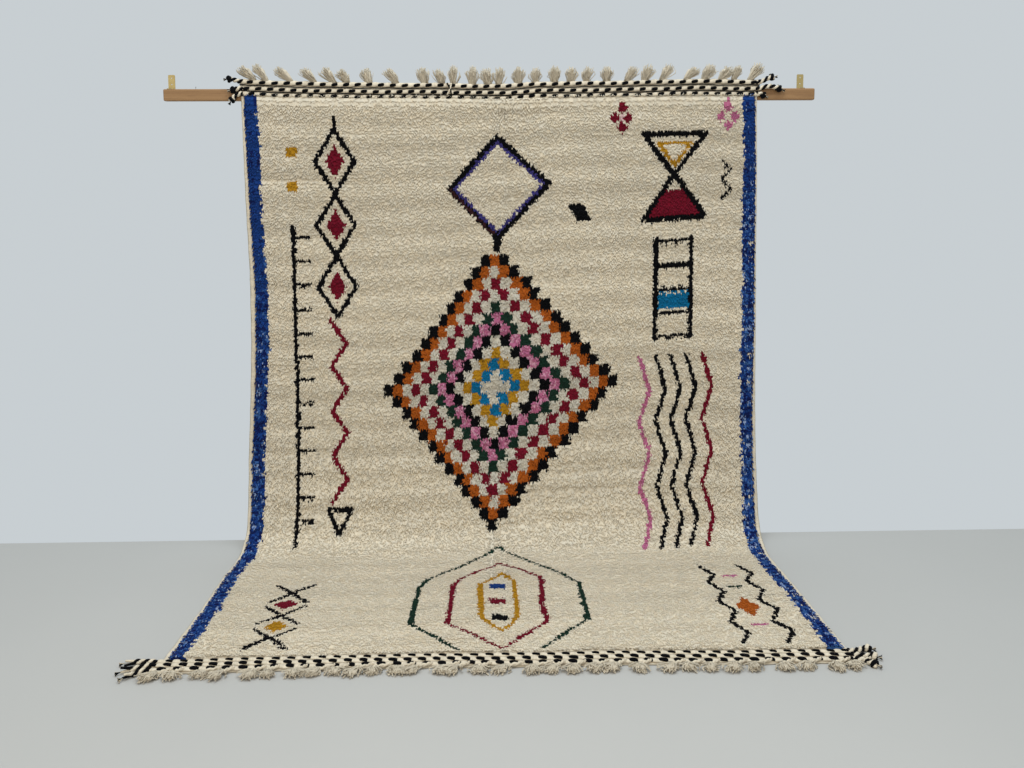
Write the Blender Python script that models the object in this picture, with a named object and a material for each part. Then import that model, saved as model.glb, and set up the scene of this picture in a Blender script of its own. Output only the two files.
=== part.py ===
"""A thick wool pile rug with twined, tasselled ends, hung from a wooden batten and lying forwards on the floor.

Metres, +Z up. The origin is the middle of the batten's back face, which lies on the wall plane y = 0.
+X is to the right seen from the front, and the rug comes forwards along -Y.
Cloth is worked out in its own measures: across is x, along runs down the pile from its top edge, and off is
the distance from the back of the cloth.
"""

import math

import bmesh
import bpy
import numpy as np
from mathutils import Vector

# Batten and its height above the floor
BATTEN_LENGTH = 2.525
BATTEN_HEIGHT = 0.045
BATTEN_DEPTH = 0.025
BATTEN_ROUNDING = 0.005
BATTEN_ABOVE_FLOOR = 1.7815

# Angle brackets, by the place of their middle across the batten
BRACKET_PLACES = {"left": -1.236, "right": 1.211}
BRACKET_WIDTH = 0.026
BRACKET_LEG = 0.056
BRACKET_FOOT = 0.023
BRACKET_METAL = 0.002
BRACKET_HOLE = 0.0045
LEG_HOLES_UP = (0.020, 0.044)
FOOT_HOLE_OUT = 0.0135
CORNER_CUT = 0.004

# Screws through the bracket feet
SCREW_HEAD = 0.0082
SCREW_HEAD_HIGH = 0.0026
SCREW_SHANK = 0.0032
SCREW_LENGTH = 0.014
SCREW_SLOT = 0.0011
SCREW_SIDES = 12

# Touching pieces stay this far apart
SEAT = 0.0003

# Rug
PILE_LENGTH = 2.54
PILE_TOP_Z = -0.004
PILE_THICK = 0.020
SELVEDGE_WIDE = 0.008
SELVEDGE_THICK = 0.004
SHOULDER_RISE = 0.006
SHOULDER_WIDE = 0.020
END_THICK = 0.011
CREASE_ACROSS = 0.036
CREASE_HALF = 0.045
CREASE_DEEP = 0.0045
RIDGE_HIGH = 0.0018
PATCH_HIGH = 0.0009
BELLY_DEEP = 0.007
BELLY_BELOW_TOP = 0.40
BELLY_ENDS = 1.25
BELLY_FADE = 0.30
SEAM_WAVE = 0.004
LOCK_OUT = 0.013
LOCK_DOWN = 0.022

# The rug's two long edges, as hand weaving left them: along, left edge, right edge
EDGE_TABLE = (
    (0.00, -0.964, 1.032),
    (0.40, -0.953, 1.039),
    (0.67, -0.941, 1.041),
    (0.94, -0.944, 1.046),
    (1.40, -0.969, 1.047),
    (1.70, -0.974, 1.049),
    (1.95, -0.994, 1.050),
    (2.20, -0.990, 1.061),
    (2.54, -0.997, 1.069),
)

# Drape: the hanging cloth starts to lean forwards, then turns onto the floor
LEAN_DEGREES = 12.0
LEAN_RUN = 0.62
TURN_RUN = 0.30
TABLE_STEP = 0.002

# Rows of the slab's grid: from, to, number of cells
ROW_TABLE = (
    (0.000, 0.016, 1),
    (0.016, 1.300, 24),
    (1.300, 1.960, 14),
    (1.960, 2.524, 10),
    (2.524, 2.540, 1),
)
CELLS_BESIDE_CREASE = 6

# Twined rows and tassels of one end
ROW_COUNT = 3
TWINE_PITCH = 0.045
CREST_OFF = 0.0125
VALLEY_OFF = 0.0050
EDGE_OFF = 0.0085
TWIST_OFF = 0.0020
TWIST_ALONG = 0.0022
SEAM_GAP = 0.0004
NECK_WIDE = 0.014
NECK_LONG = 0.011
PUFF_REACH = 0.025
PUFF_CLEAR = 0.0012
BAND_STEP = 0.032
ROPE_RADIUS = 0.0072
ROPE_TURN = math.radians(38)

# Top tassels from left to right: across, height, lean
TOP_TASSELS = (
    (-0.944, 0.048, -0.010),
    (-0.905, 0.056, 0.006),
    (-0.810, 0.046, -0.006),
    (-0.722, 0.044, 0.004),
    (-0.632, 0.048, -0.008),
    (-0.588, 0.040, 0.012),
    (-0.495, 0.044, 0.010),
    (-0.386, 0.042, -0.010),
    (-0.268, 0.046, 0.000),
    (-0.196, 0.038, -0.012),
    (-0.152, 0.054, 0.004),
    (-0.078, 0.054, 0.002),
    (-0.016, 0.046, -0.004),
    (0.026, 0.050, 0.006),
    (0.102, 0.052, 0.000),
    (0.168, 0.048, 0.000),
    (0.244, 0.056, -0.002),
    (0.306, 0.050, 0.004),
    (0.368, 0.052, 0.006),
    (0.452, 0.050, -0.006),
    (0.542, 0.048, 0.006),
    (0.606, 0.056, 0.002),
    (0.692, 0.058, -0.004),
    (0.776, 0.046, 0.008),
    (0.850, 0.058, -0.002),
    (0.910, 0.050, 0.006),
    (0.965, 0.052, -0.008),
    (1.024, 0.062, 0.014),
)

# Bottom tassels from left to right: across, height, lean
BOTTOM_TASSELS = (
    (-0.996, 0.050, -0.016),
    (-0.950, 0.044, 0.010),
    (-0.876, 0.036, 0.012),
    (-0.806, 0.050, -0.008),
    (-0.722, 0.048, 0.008),
    (-0.678, 0.044, 0.014),
    (-0.600, 0.046, 0.010),
    (-0.531, 0.044, -0.012),
    (-0.476, 0.038, 0.006),
    (-0.418, 0.048, -0.008),
    (-0.376, 0.040, 0.010),
    (-0.298, 0.046, 0.012),
    (-0.246, 0.042, -0.008),
    (-0.170, 0.044, 0.008),
    (-0.130, 0.048, -0.002),
    (-0.062, 0.046, 0.012),
    (0.016, 0.044, -0.010),
    (0.094, 0.048, 0.010),
    (0.164, 0.046, -0.006),
    (0.218, 0.050, 0.008),
    (0.288, 0.046, 0.000),
    (0.344, 0.044, -0.010),
    (0.412, 0.050, 0.010),
    (0.510, 0.048, -0.010),
    (0.553, 0.042, 0.012),
    (0.620, 0.046, 0.008),
    (0.698, 0.050, -0.008),
    (0.744, 0.044, 0.010),
    (0.836, 0.048, 0.012),
    (0.914, 0.044, -0.006),
    (0.990, 0.050, 0.010),
    (1.040, 0.044, 0.012),
)

# Loose rope ends as steps from the band's end: outwards across, past the twined row, off the back.
# The last step of each is its knot. Rows are counted from the tassels towards the pile.
TOP_ROPES = {
    ("left", 0): ((0.018, 0.004, 0.010), (0.034, 0.007, 0.012), (0.045, 0.006, 0.012)),
    ("left", 1): ((0.012, -0.004, 0.012), (0.023, -0.008, 0.013), (0.032, -0.010, 0.013)),
    ("left", 2): ((0.013, -0.006, 0.012), (0.026, -0.018, 0.013), (0.034, -0.032, 0.013)),
    ("right", 0): ((0.018, 0.006, 0.010), (0.036, 0.016, 0.012), (0.054, 0.018, 0.012)),
    ("right", 1): (
        (0.020, 0.006, 0.012),
        (0.040, 0.009, 0.014),
        (0.064, 0.003, 0.014),
        (0.086, -0.006, 0.012),
    ),
    ("right", 2): ((0.012, -0.004, 0.012), (0.024, -0.010, 0.013), (0.034, -0.016, 0.013)),
}
BOTTOM_ROPES = {
    ("left", 0): ((0.018, 0.006, 0.0075), (0.036, 0.024, 0.0075), (0.050, 0.040, 0.0085)),
    ("left", 1): ((0.020, 0.004, 0.0075), (0.044, 0.014, 0.0075), (0.072, 0.030, 0.0085)),
    ("left", 2): ((0.022, -0.002, 0.0075), (0.050, -0.004, 0.0075), (0.080, 0.004, 0.0085)),
    ("right", 0): ((0.018, 0.008, 0.0075), (0.030, 0.022, 0.0075), (0.040, 0.034, 0.0085)),
    ("right", 1): ((0.020, 0.002, 0.0075), (0.042, 0.006, 0.0075), (0.060, 0.014, 0.0085)),
    ("right", 2): ((0.020, -0.006, 0.0075), (0.042, -0.016, 0.0075), (0.062, -0.010, 0.0085)),
}

CLOTH_BACK_Y = -(BATTEN_DEPTH + SEAT)
FLOOR_Z = -BATTEN_ABOVE_FLOOR

IVORY = (0.72, 0.64, 0.51, 1.0)
WOOD = (0.42, 0.23, 0.10, 1.0)
BRASS = (0.78, 0.60, 0.28, 1.0)
STEEL = (0.62, 0.60, 0.55, 1.0)


def clear_scene():
    for thing in list(bpy.data.objects):
        bpy.data.objects.remove(thing, do_unlink=True)


def material(name, colour, roughness, metallic=0.0):
    made = bpy.data.materials.new(name)
    made.use_nodes = True
    shader = made.node_tree.nodes["Principled BSDF"]
    shader.inputs["Base Color"].default_value = colour
    shader.inputs["Roughness"].default_value = roughness
    shader.inputs["Metallic"].default_value = metallic
    made.diffuse_color = colour
    return made


def add_object(name, bm, finish, parent, place=(0.0, 0.0, 0.0)):
    """Turns a bmesh into a named object under the parent."""
    mesh = bpy.data.meshes.new(name)
    bm.to_mesh(mesh)
    bm.free()
    mesh.materials.append(finish)
    made = bpy.data.objects.new(name, mesh)
    made.location = place
    made.parent = parent
    bpy.context.scene.collection.objects.link(made)
    return made


def ease(t):
    """Rises from 0 to 1 with flat ends."""
    t = np.clip(t, 0.0, 1.0)
    return t * t * (3.0 - 2.0 * t)


def make_drape():
    """Angle, forward reach and drop of the cloth's back along its length.

    The turn starts where the drop left over is just what the turn itself needs to meet the floor.
    """
    along = np.arange(-0.2, PILE_LENGTH + 0.3, TABLE_STEP)
    lean = math.radians(LEAN_DEGREES)
    goal = PILE_TOP_Z - FLOOR_Z

    def angle_for(turn):
        leaning = lean * ease((along - turn + LEAN_RUN) / (LEAN_RUN + TURN_RUN / 2))
        return leaning + (math.pi / 2 - lean) * ease((along - turn) / TURN_RUN)

    def summed(values):
        total = np.concatenate([[0.0], np.cumsum((values[1:] + values[:-1]) / 2) * TABLE_STEP])
        return total - np.interp(0.0, along, total)

    low, high = 0.5, PILE_LENGTH
    for _ in range(50):
        turn = (low + high) / 2
        drop = summed(np.cos(angle_for(turn)))
        if drop[-1] < goal:
            low = turn
        else:
            high = turn
    angle = angle_for(turn)
    forward = summed(np.sin(angle))
    return along, angle, forward, drop


DRAPE = make_drape()


def place(across, along, off):
    """World point of a point given in the cloth's measures."""
    angle, forward, drop = (np.interp(along, DRAPE[0], column) for column in DRAPE[1:])
    return Vector(
        (
            across,
            CLOTH_BACK_Y - forward - off * math.cos(angle),
            max(PILE_TOP_Z - drop, FLOOR_Z) + off * math.sin(angle),
        )
    )


def belly(across, along):
    """How far the hanging cloth stands off its straight fall: soft upright waves, none at either end."""
    held = ease(along / BELLY_BELOW_TOP) * (1.0 - ease((along - BELLY_ENDS) / BELLY_FADE))
    wave = 0.5 + 0.32 * math.sin(5.1 * across + 0.8) + 0.18 * math.sin(11.0 * across - 1.3 * along)
    return BELLY_DEEP * held * wave


def lumps(across, along):
    """The pile's uneven height: low ridges that run across, broken along their length."""
    ridge = math.sin(58.0 * along + 1.7 * math.sin(3.1 * across))
    patch = math.sin(9.0 * across + 4.0 * along) + math.sin(17.0 * across - 7.0 * along + 1.0)
    return RIDGE_HIGH * ridge + PATCH_HIGH * patch


def edges_at(along):
    table = np.array(EDGE_TABLE)
    return tuple(np.interp(along, table[:, 0], table[:, side]) for side in (1, 2))


def columns_at(along):
    """Places across the slab in one row: selvedge, pile wall, shoulder and field to the crease, and back out."""
    left, right = edges_at(along)
    insets = np.cumsum([0.0, SELVEDGE_WIDE, SHOULDER_RISE, SHOULDER_WIDE])
    rag = 0.003 * math.sin(71.0 * along) + 0.002 * math.sin(133.0 * along + 2.0)
    insets[2:] += rag * 0.5
    field_left = np.linspace(left + insets[3], CREASE_ACROSS - CREASE_HALF, CELLS_BESIDE_CREASE + 1)
    field_right = np.linspace(CREASE_ACROSS + CREASE_HALF, right - insets[3], CELLS_BESIDE_CREASE + 1)
    return np.concatenate(
        [left + insets[:3], field_left, [CREASE_ACROSS], field_right, (right - insets[:3])[::-1]]
    )


def pile_rows():
    rows = [np.linspace(start, end, cells, endpoint=False) for start, end, cells in ROW_TABLE]
    return np.concatenate(rows + [[PILE_LENGTH]])


def seam(across, along_end):
    """The small wave of the pile's end, straight between the slab's columns so that the band follows it."""
    columns = columns_at(along_end)
    wave = 0.6 * np.sin(3.3 * columns + 0.6 + along_end) + 0.4 * np.sin(8.2 * columns)
    return SEAM_WAVE * float(np.interp(across, columns, wave))


def make_rug(finish, parent):
    """The one-piece slab: a lumpy front and a smooth back on the same grid, joined round the rim."""
    bm = bmesh.new()
    rows = pile_rows()
    last_row = len(rows) - 1
    front, back = [], []
    for i, along in enumerate(rows):
        columns = columns_at(along)
        last = len(columns) - 1
        thick = np.full(len(columns), PILE_THICK)
        thick[[0, last]] = SELVEDGE_THICK
        thick[[1, last - 1]] = SELVEDGE_THICK + 0.001
        thick[[2, last - 2]] = PILE_THICK * 0.8
        front_row, back_row = [], []
        for j, across in enumerate(columns):
            settled = along + (seam(across, along) if i in (0, last_row) else 0.0)
            lift = belly(across, along)
            off = thick[j]
            if 3 <= j <= last - 3:
                off += lumps(across, along)
            if across == CREASE_ACROSS:
                off -= CREASE_DEEP
            if i in (0, last_row):
                off = min(off, END_THICK)
            front_row.append(bm.verts.new(place(across, settled, off + lift)))
            back_row.append(bm.verts.new(place(across, settled, lift)))
        front.append(front_row)
        back.append(back_row)

    def skin(grid, flip):
        for upper, lower in zip(grid, grid[1:]):
            for j in range(last):
                corners = [upper[j], lower[j], lower[j + 1], upper[j + 1]]
                bm.faces.new(corners[::-1] if flip else corners)

    skin(front, False)
    skin(back, True)
    for grid_row, other in ((front[0], back[0]), (front[-1], back[-1])):
        for j in range(last):
            bm.faces.new([grid_row[j], grid_row[j + 1], other[j + 1], other[j]])
    for j in (0, last):
        for i in range(last_row):
            bm.faces.new([front[i][j], back[i][j], back[i + 1][j], front[i + 1][j]])
    bmesh.ops.recalc_face_normals(bm, faces=bm.faces)

    for i in range(2, last_row - 2, 2):
        for j, outwards in ((1, -1.0), (last - 2, 1.0)):
            wall = bm.faces.get([front[i][j], front[i][j + 1], front[i + 1][j + 1], front[i + 1][j]])
            add_rim_lock(bm, wall, rows[i], outwards, i)
    bmesh.ops.recalc_face_normals(bm, faces=bm.faces)
    return add_object("rug", bm, finish, parent)


def add_rim_lock(bm, wall, along, outwards, number):
    """A lock of pile that sticks out of the side wall, over the selvedge, and lies down along the rug."""
    down = place(0.0, along + 0.05, 0.0) - place(0.0, along, 0.0)
    down.normalize()
    reach = LOCK_OUT * (0.75 + 0.25 * math.sin(2.3 * number))
    middle = wall.calc_center_median()
    facing = place(0.0, along, 0.01) - place(0.0, along, 0.0)
    facing.normalize()
    grown = bmesh.ops.extrude_discrete_faces(bm, faces=[wall])["faces"][0]
    tip = middle + Vector((outwards * reach, 0.0, 0.0)) + down * LOCK_DOWN + facing * 0.002
    for corner in grown.verts:
        corner.co = tip + (corner.co - middle) * 0.42


def band_columns(ends, tassels):
    """Section places along a band: both sides of every tassel's neck, and even steps between them."""
    stops = [ends[0]]
    for across, _, _ in tassels:
        stops += [across - NECK_WIDE / 2, across + NECK_WIDE / 2]
    stops.append(ends[1])
    columns = []
    for start, end in zip(stops, stops[1:]):
        cells = max(1, math.ceil((end - start) / BAND_STEP))
        columns += list(np.linspace(start, end, cells, endpoint=False))
    return columns + [ends[1]]


class Band:
    """One twined end: past is the distance from the pile's edge, towards the tassels."""

    def __init__(self, at_top, width):
        self.sign = -1.0 if at_top else 1.0
        self.end = 0.0 if at_top else PILE_LENGTH
        self.width = width

    def point(self, across, past, off):
        along = self.end + self.sign * (SEAM_GAP + past) + seam(across, self.end)
        return place(across, along, off)

    def profile(self, across):
        """(past, off) round one section: down the front from the tassels, then up the back."""
        row_wide = self.width / ROW_COUNT
        front = [(self.width, EDGE_OFF)]
        for row in range(ROW_COUNT):
            phase = 2 * math.pi * across / TWINE_PITCH + math.pi * row
            crest = self.width - (row + 0.5) * row_wide + TWIST_ALONG * math.sin(phase)
            front.append((crest, CREST_OFF + TWIST_OFF * math.cos(phase)))
            if row < ROW_COUNT - 1:
                front.append((self.width - (row + 1) * row_wide, VALLEY_OFF))
        front.append((0.0, EDGE_OFF))
        return front + [(row * row_wide, 0.0) for row in range(ROW_COUNT + 1)]

    def row_corners(self, row, size):
        """Which points of a section bound one twined row, so that the end cap has a face for each row."""
        first, low_back = 2 * row, size - 1 - row
        return [first, first + 1, first + 2, low_back - 1, low_back]


def add_tassel(bm, band, root, spread, shape, room):
    """A neck that opens into locks, in place of the root's face.

    spread is (locks across, locks deep) and shape is the table's (across, height, lean). room is (left, right):
    how far the locks may reach without meeting the next tassel.
    """
    wide, deep = spread
    middle, height, lean = shape
    neck_half = NECK_WIDE * 0.36
    across_grid = np.linspace(middle - neck_half, middle + neck_half, wide + 1) + lean * 0.15
    off_grid = np.linspace(SEAT, EDGE_OFF, deep + 1)
    neck_at = band.width + NECK_LONG
    grid = [[bm.verts.new(band.point(x, neck_at, off)) for off in off_grid] for x in across_grid]
    a, b, c, d = root
    bm.faces.new([a, b] + [grid[i][deep] for i in range(wide, -1, -1)])
    bm.faces.new([c, d] + [grid[i][0] for i in range(wide + 1)])
    bm.faces.new([b, c] + [grid[wide][k] for k in range(deep + 1)])
    bm.faces.new([d, a] + [grid[0][k] for k in range(deep, -1, -1)])
    left, right = room
    share = (right - left) / wide
    for i in range(wide):
        for k in range(deep):
            corners = [grid[i][k], grid[i + 1][k], grid[i + 1][k + 1], grid[i][k + 1]]
            centre = left + share * (i + 0.5) + lean * 0.3
            centre = min(max(centre, left + share * 0.45), right - share * 0.45)
            swell = share * 0.46
            uneven = 1.0 + 0.10 * math.sin(7.0 * middle * 10 + 2.0 * i + 3.0 * k)
            if deep == 1:
                low, high = SEAT, 0.017 * uneven
                tip_off = 0.007
            else:
                low, high = ((-0.011, 0.0035), (0.0055, 0.022))[k]
                tip_off = (low + high) / 2 + (0.004 if k else -0.004)
            at = band.width + height * 0.70 * uneven
            half = height * 0.10
            ring = [
                bm.verts.new(band.point(centre - swell, at - half * (i == 0), low)),
                bm.verts.new(band.point(centre + swell, at - half * (i == wide - 1), low)),
                bm.verts.new(band.point(centre + swell * 0.9, at - half * (i == wide - 1), high)),
                bm.verts.new(band.point(centre - swell * 0.9, at - half * (i == 0), high)),
            ]
            tip = bm.verts.new(band.point(centre + lean * 0.15, band.width + height * uneven, tip_off))
            for n in range(4):
                after = (n + 1) % 4
                bm.faces.new([corners[n], corners[after], ring[after], ring[n]])
                bm.faces.new([ring[n], ring[after], tip])


def add_rope_end(bm, band, root, start, outwards, steps):
    """A twisted loose end: rings turned a little more at each step, the last two swollen into a knot.

    root is a list of (corner, past, off) round the face that it grows from, and start is that face's middle.
    """
    across, past, off = start
    path = [np.array(start)]
    path += [np.array((across + outwards * out, past + beyond, away)) for out, beyond, away in steps]
    points = [path[0]]
    for here, there in zip(path, path[1:]):
        points += [(here + there) / 2, there]
    last = len(points) - 1
    tip_step = (points[-1] - points[-2]) * 0.6
    sides = len(root)
    turn_from = [math.atan2(corner_off - off, corner_past - past) for _, corner_past, corner_off in root]
    ring = [corner for corner, _, _ in root]
    for number, centre in enumerate(points[1:], start=1):
        way = points[min(number + 1, last)] - points[number - 1]
        way = way / np.linalg.norm(way)
        lift = np.array((0.0, 0.0, 1.0)) - way * way[2]
        lift = lift / np.linalg.norm(lift)
        side = np.cross(lift, way) * outwards
        knot = number >= last - 1
        radius = ROPE_RADIUS * (1.22 if knot else 1.0)
        flatten = 1.0 if band.sign < 0 else min(1.0, centre[2] / radius - 0.02)
        fresh = []
        for n in range(sides):
            turned = turn_from[n] + ROPE_TURN * number
            spot = centre + radius * (math.cos(turned) * side + math.sin(turned) * lift * flatten)
            fresh.append(bm.verts.new(band.point(*spot)))
        for n in range(sides):
            after = (n + 1) % sides
            bm.faces.new([ring[n], ring[after], fresh[after], fresh[n]])
        ring = fresh
    tip = bm.verts.new(band.point(*(points[-1] + tip_step)))
    for n in range(sides):
        bm.faces.new([ring[n], ring[(n + 1) % sides], tip])


def make_fringe(name, at_top, width, ends, tassels, ropes, finish, parent):
    """A twined strip with its tassels and loose rope ends, as one solid."""
    bm = bmesh.new()
    band = Band(at_top, width)
    columns = band_columns(ends, tassels)
    profiles = [band.profile(across) for across in columns]
    rings = [
        [bm.verts.new(band.point(across, past, off)) for past, off in profile]
        for across, profile in zip(columns, profiles)
    ]
    size = len(rings[0])
    spread = (2, 2) if at_top else (3, 1)
    middles = [(one[0] + two[0]) / 2 for one, two in zip(tassels, tassels[1:])]
    limits = [ends[0] - PUFF_REACH / 2] + middles + [ends[1] + PUFF_REACH]
    necks = {round(shape[0] - NECK_WIDE / 2, 6): n for n, shape in enumerate(tassels)}
    for column, ring, after in zip(columns, rings, rings[1:]):
        n = necks.get(round(column, 6))
        for k in range(size if n is None else size - 1):
            step = (k + 1) % size
            bm.faces.new([ring[k], after[k], after[step], ring[step]])
        if n is not None:
            across = tassels[n][0]
            root = [ring[0], after[0], after[-1], ring[-1]]
            left = max(limits[n] + PUFF_CLEAR, across - PUFF_REACH)
            right = min(limits[n + 1] - PUFF_CLEAR, across + PUFF_REACH)
            add_tassel(bm, band, root, spread, tassels[n], (left, right))
    for side, at, outwards in (("left", 0, -1.0), ("right", -1, 1.0)):
        for row in range(ROW_COUNT):
            root = [(rings[at][k], *profiles[at][k]) for k in band.row_corners(row, size)]
            start = (columns[at], width - (row + 0.5) * width / ROW_COUNT, CREST_OFF / 2)
            add_rope_end(bm, band, root, start, outwards, ropes[(side, row)])
    bmesh.ops.recalc_face_normals(bm, faces=bm.faces)
    return add_object(name, bm, finish, parent)


def make_batten(finish, parent):
    bm = bmesh.new()
    bmesh.ops.create_cube(bm, size=1.0)
    bmesh.ops.scale(bm, vec=(BATTEN_LENGTH, BATTEN_DEPTH, BATTEN_HEIGHT), verts=bm.verts)
    batten = add_object("batten", bm, finish, parent, (0.0, -BATTEN_DEPTH / 2, 0.0))
    rounding = batten.modifiers.new("rounded edges", "BEVEL")
    rounding.width = BATTEN_ROUNDING
    rounding.segments = 3
    for side, across in BRACKET_PLACES.items():
        cutter = make_cutter(
            f"pilot_{side}",
            SCREW_SHANK / 2 + SEAT,
            SCREW_LENGTH + 0.004,
            (across, -FOOT_HOLE_OUT, BATTEN_HEIGHT / 2 - SCREW_LENGTH / 2 + 0.0005),
        )
        cut(batten, cutter)
    return batten


def make_cutter(name, radius, length, place_at, turned=(0.0, 0.0, 0.0)):
    bm = bmesh.new()
    bmesh.ops.create_cone(
        bm, cap_ends=True, segments=SCREW_SIDES, radius1=radius, radius2=radius, depth=length
    )
    mesh = bpy.data.meshes.new(name)
    bm.to_mesh(mesh)
    bm.free()
    made = bpy.data.objects.new(name, mesh)
    made.location = place_at
    made.rotation_euler = turned
    made.hide_render = True
    made.display_type = "WIRE"
    bpy.context.scene.collection.objects.link(made)
    return made


def cut(target, cutter):
    """Takes the cutter's shape out of the target."""
    made = target.modifiers.new(cutter.name, "BOOLEAN")
    made.operation = "DIFFERENCE"
    made.object = cutter
    made.solver = "EXACT"


def make_bracket(side, across, finish, parent):
    """An angle bracket: a leg up the wall and a foot on the batten, with screw holes."""
    foot_z = BATTEN_HEIGHT / 2 + SEAT
    outline = (
        (0.0, 0.0),
        (-BRACKET_FOOT, 0.0),
        (-BRACKET_FOOT, BRACKET_METAL),
        (-BRACKET_METAL * 1.6, BRACKET_METAL),
        (-BRACKET_METAL, BRACKET_METAL * 1.6),
        (-BRACKET_METAL, BRACKET_LEG),
        (0.0, BRACKET_LEG),
    )
    bm = bmesh.new()
    left = [bm.verts.new((-BRACKET_WIDTH / 2, y, z)) for y, z in outline]
    right = [bm.verts.new((BRACKET_WIDTH / 2, y, z)) for y, z in outline]
    bm.faces.new(left)
    bm.faces.new(right[::-1])
    for n in range(len(outline)):
        after = (n + 1) % len(outline)
        bm.faces.new([left[n], right[n], right[after], left[after]])
    bmesh.ops.recalc_face_normals(bm, faces=bm.faces)
    corners = [
        edge
        for edge in bm.edges
        if abs(edge.verts[0].co.x - edge.verts[1].co.x) < 1e-6
        and all(v.co.z > BRACKET_LEG - 1e-6 or v.co.y < -BRACKET_FOOT + 1e-6 for v in edge.verts)
    ]
    bmesh.ops.bevel(bm, geom=corners, offset=CORNER_CUT, segments=3, profile=0.5, affect="EDGES")
    bracket = add_object(f"bracket_{side}", bm, finish, parent, (across, 0.0, foot_z))
    facing_out = (math.pi / 2, 0.0, 0.0)
    for number, up in enumerate(LEG_HOLES_UP):
        cutter = make_cutter(
            f"leg_hole_{side}_{number}",
            BRACKET_HOLE / 2,
            BRACKET_METAL * 6,
            (across, -BRACKET_METAL / 2, foot_z + up),
            facing_out,
        )
        cut(bracket, cutter)
    foot_hole = make_cutter(
        f"foot_hole_{side}",
        BRACKET_HOLE / 2,
        BRACKET_METAL * 6,
        (across, -FOOT_HOLE_OUT, foot_z + BRACKET_METAL / 2),
    )
    cut(bracket, foot_hole)
    return bracket


def make_screw(side, across, finish, parent):
    """A round-head screw turned from its profile, with a straight slot."""
    head, shank = SCREW_HEAD / 2, SCREW_SHANK / 2
    dome = [
        (head * math.cos(a), SCREW_HEAD_HIGH * (0.35 + 0.65 * math.sin(a)))
        for a in np.linspace(0.0, math.pi / 2 * 0.8, 4)
    ]
    profile = [(shank * 0.5, -SCREW_LENGTH), (shank, -SCREW_LENGTH + 0.002), (shank, 0.0), (head, 0.0)]
    profile += dome
    bm = bmesh.new()
    rings = []
    for radius, z in profile:
        turns = [2 * math.pi * n / SCREW_SIDES for n in range(SCREW_SIDES)]
        rings.append([bm.verts.new((radius * math.cos(t), radius * math.sin(t), z)) for t in turns])
    for ring, after in zip(rings, rings[1:]):
        for n in range(SCREW_SIDES):
            step = (n + 1) % SCREW_SIDES
            bm.faces.new([ring[n], ring[step], after[step], after[n]])
    bm.faces.new(rings[0][::-1])
    bm.faces.new(rings[-1])
    bmesh.ops.recalc_face_normals(bm, faces=bm.faces)
    seat_z = BATTEN_HEIGHT / 2 + BRACKET_METAL + 2 * SEAT
    screw = add_object(f"screw_{side}", bm, finish, parent, (across, -FOOT_HOLE_OUT, seat_z))
    bm = bmesh.new()
    bmesh.ops.create_cube(bm, size=1.0)
    bmesh.ops.scale(bm, vec=(SCREW_HEAD * 1.5, SCREW_SLOT, SCREW_HEAD_HIGH), verts=bm.verts)
    slot = add_object(f"slot_{side}", bm, finish, None, (across, -FOOT_HOLE_OUT, 0.0))
    slot.location.z = seat_z + SCREW_HEAD_HIGH * 1.05
    slot.hide_render = True
    slot.display_type = "WIRE"
    cut(screw, slot)
    return screw


def main():
    clear_scene()
    wool = material("ivory wool pile", IVORY, 0.95)
    yarn = material("twined wool yarn", IVORY, 0.9)
    wood = material("oiled wood", WOOD, 0.55)
    brass = material("brass plate", BRASS, 0.35, 1.0)
    steel = material("screw steel", STEEL, 0.4, 1.0)
    whole = bpy.data.objects.new("rug_on_batten", None)
    bpy.context.scene.collection.objects.link(whole)
    make_batten(wood, whole)
    for side, across in BRACKET_PLACES.items():
        make_bracket(side, across, brass, whole)
        make_screw(side, across, steel, whole)
    make_rug(wool, whole)
    make_fringe("top_fringe", True, 0.062, (-0.966, 1.040), TOP_TASSELS, TOP_ROPES, yarn, whole)
    make_fringe("bottom_fringe", False, 0.078, (-1.022, 1.076), BOTTOM_TASSELS, BOTTOM_ROPES, yarn, whole)


main()
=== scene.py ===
# %% [markdown]
# # A knotted wool rug hung from a wooden batten
# The rug is a woven cloth with thick wool pile knotted into it. It hangs from a batten, turns at the
# floor and lies forwards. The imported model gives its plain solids, in metres, with the middle of the
# batten's back at the origin. This lesson dresses them: every knot of pile, the twined ends and the
# tassels are worked out as numpy arrays in the cloth's own measures, and only then bent into place.

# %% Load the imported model
import math

import bpy
import numpy as np
from mathutils import Matrix


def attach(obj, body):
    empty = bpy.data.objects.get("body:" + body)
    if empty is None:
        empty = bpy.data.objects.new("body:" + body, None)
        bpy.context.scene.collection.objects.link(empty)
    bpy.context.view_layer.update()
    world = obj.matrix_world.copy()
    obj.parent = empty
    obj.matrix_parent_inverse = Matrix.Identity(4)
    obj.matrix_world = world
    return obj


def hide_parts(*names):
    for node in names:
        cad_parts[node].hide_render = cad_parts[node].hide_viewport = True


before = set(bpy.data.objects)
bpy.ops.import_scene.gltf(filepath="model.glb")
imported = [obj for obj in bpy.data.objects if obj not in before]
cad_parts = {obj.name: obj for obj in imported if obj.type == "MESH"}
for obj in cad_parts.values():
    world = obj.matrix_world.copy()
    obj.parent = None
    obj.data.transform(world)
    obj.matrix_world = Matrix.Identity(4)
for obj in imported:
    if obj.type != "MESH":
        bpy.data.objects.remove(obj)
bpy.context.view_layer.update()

print("nodes:", ", ".join(sorted(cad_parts)))

# %% [markdown]
# ## The cloth's own measures
# A hanging cloth is easiest to think of flat: across is x, along runs down from the pile's top edge,
# and off is the distance from the cloth's back. One function then lays flat points into the room, so
# the ground cloth, the pile and the twined ends all share the same drape. A cloth simulation would move
# them apart, and the photograph shows one calm curve, so a curve in closed form is the better way here.

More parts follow.
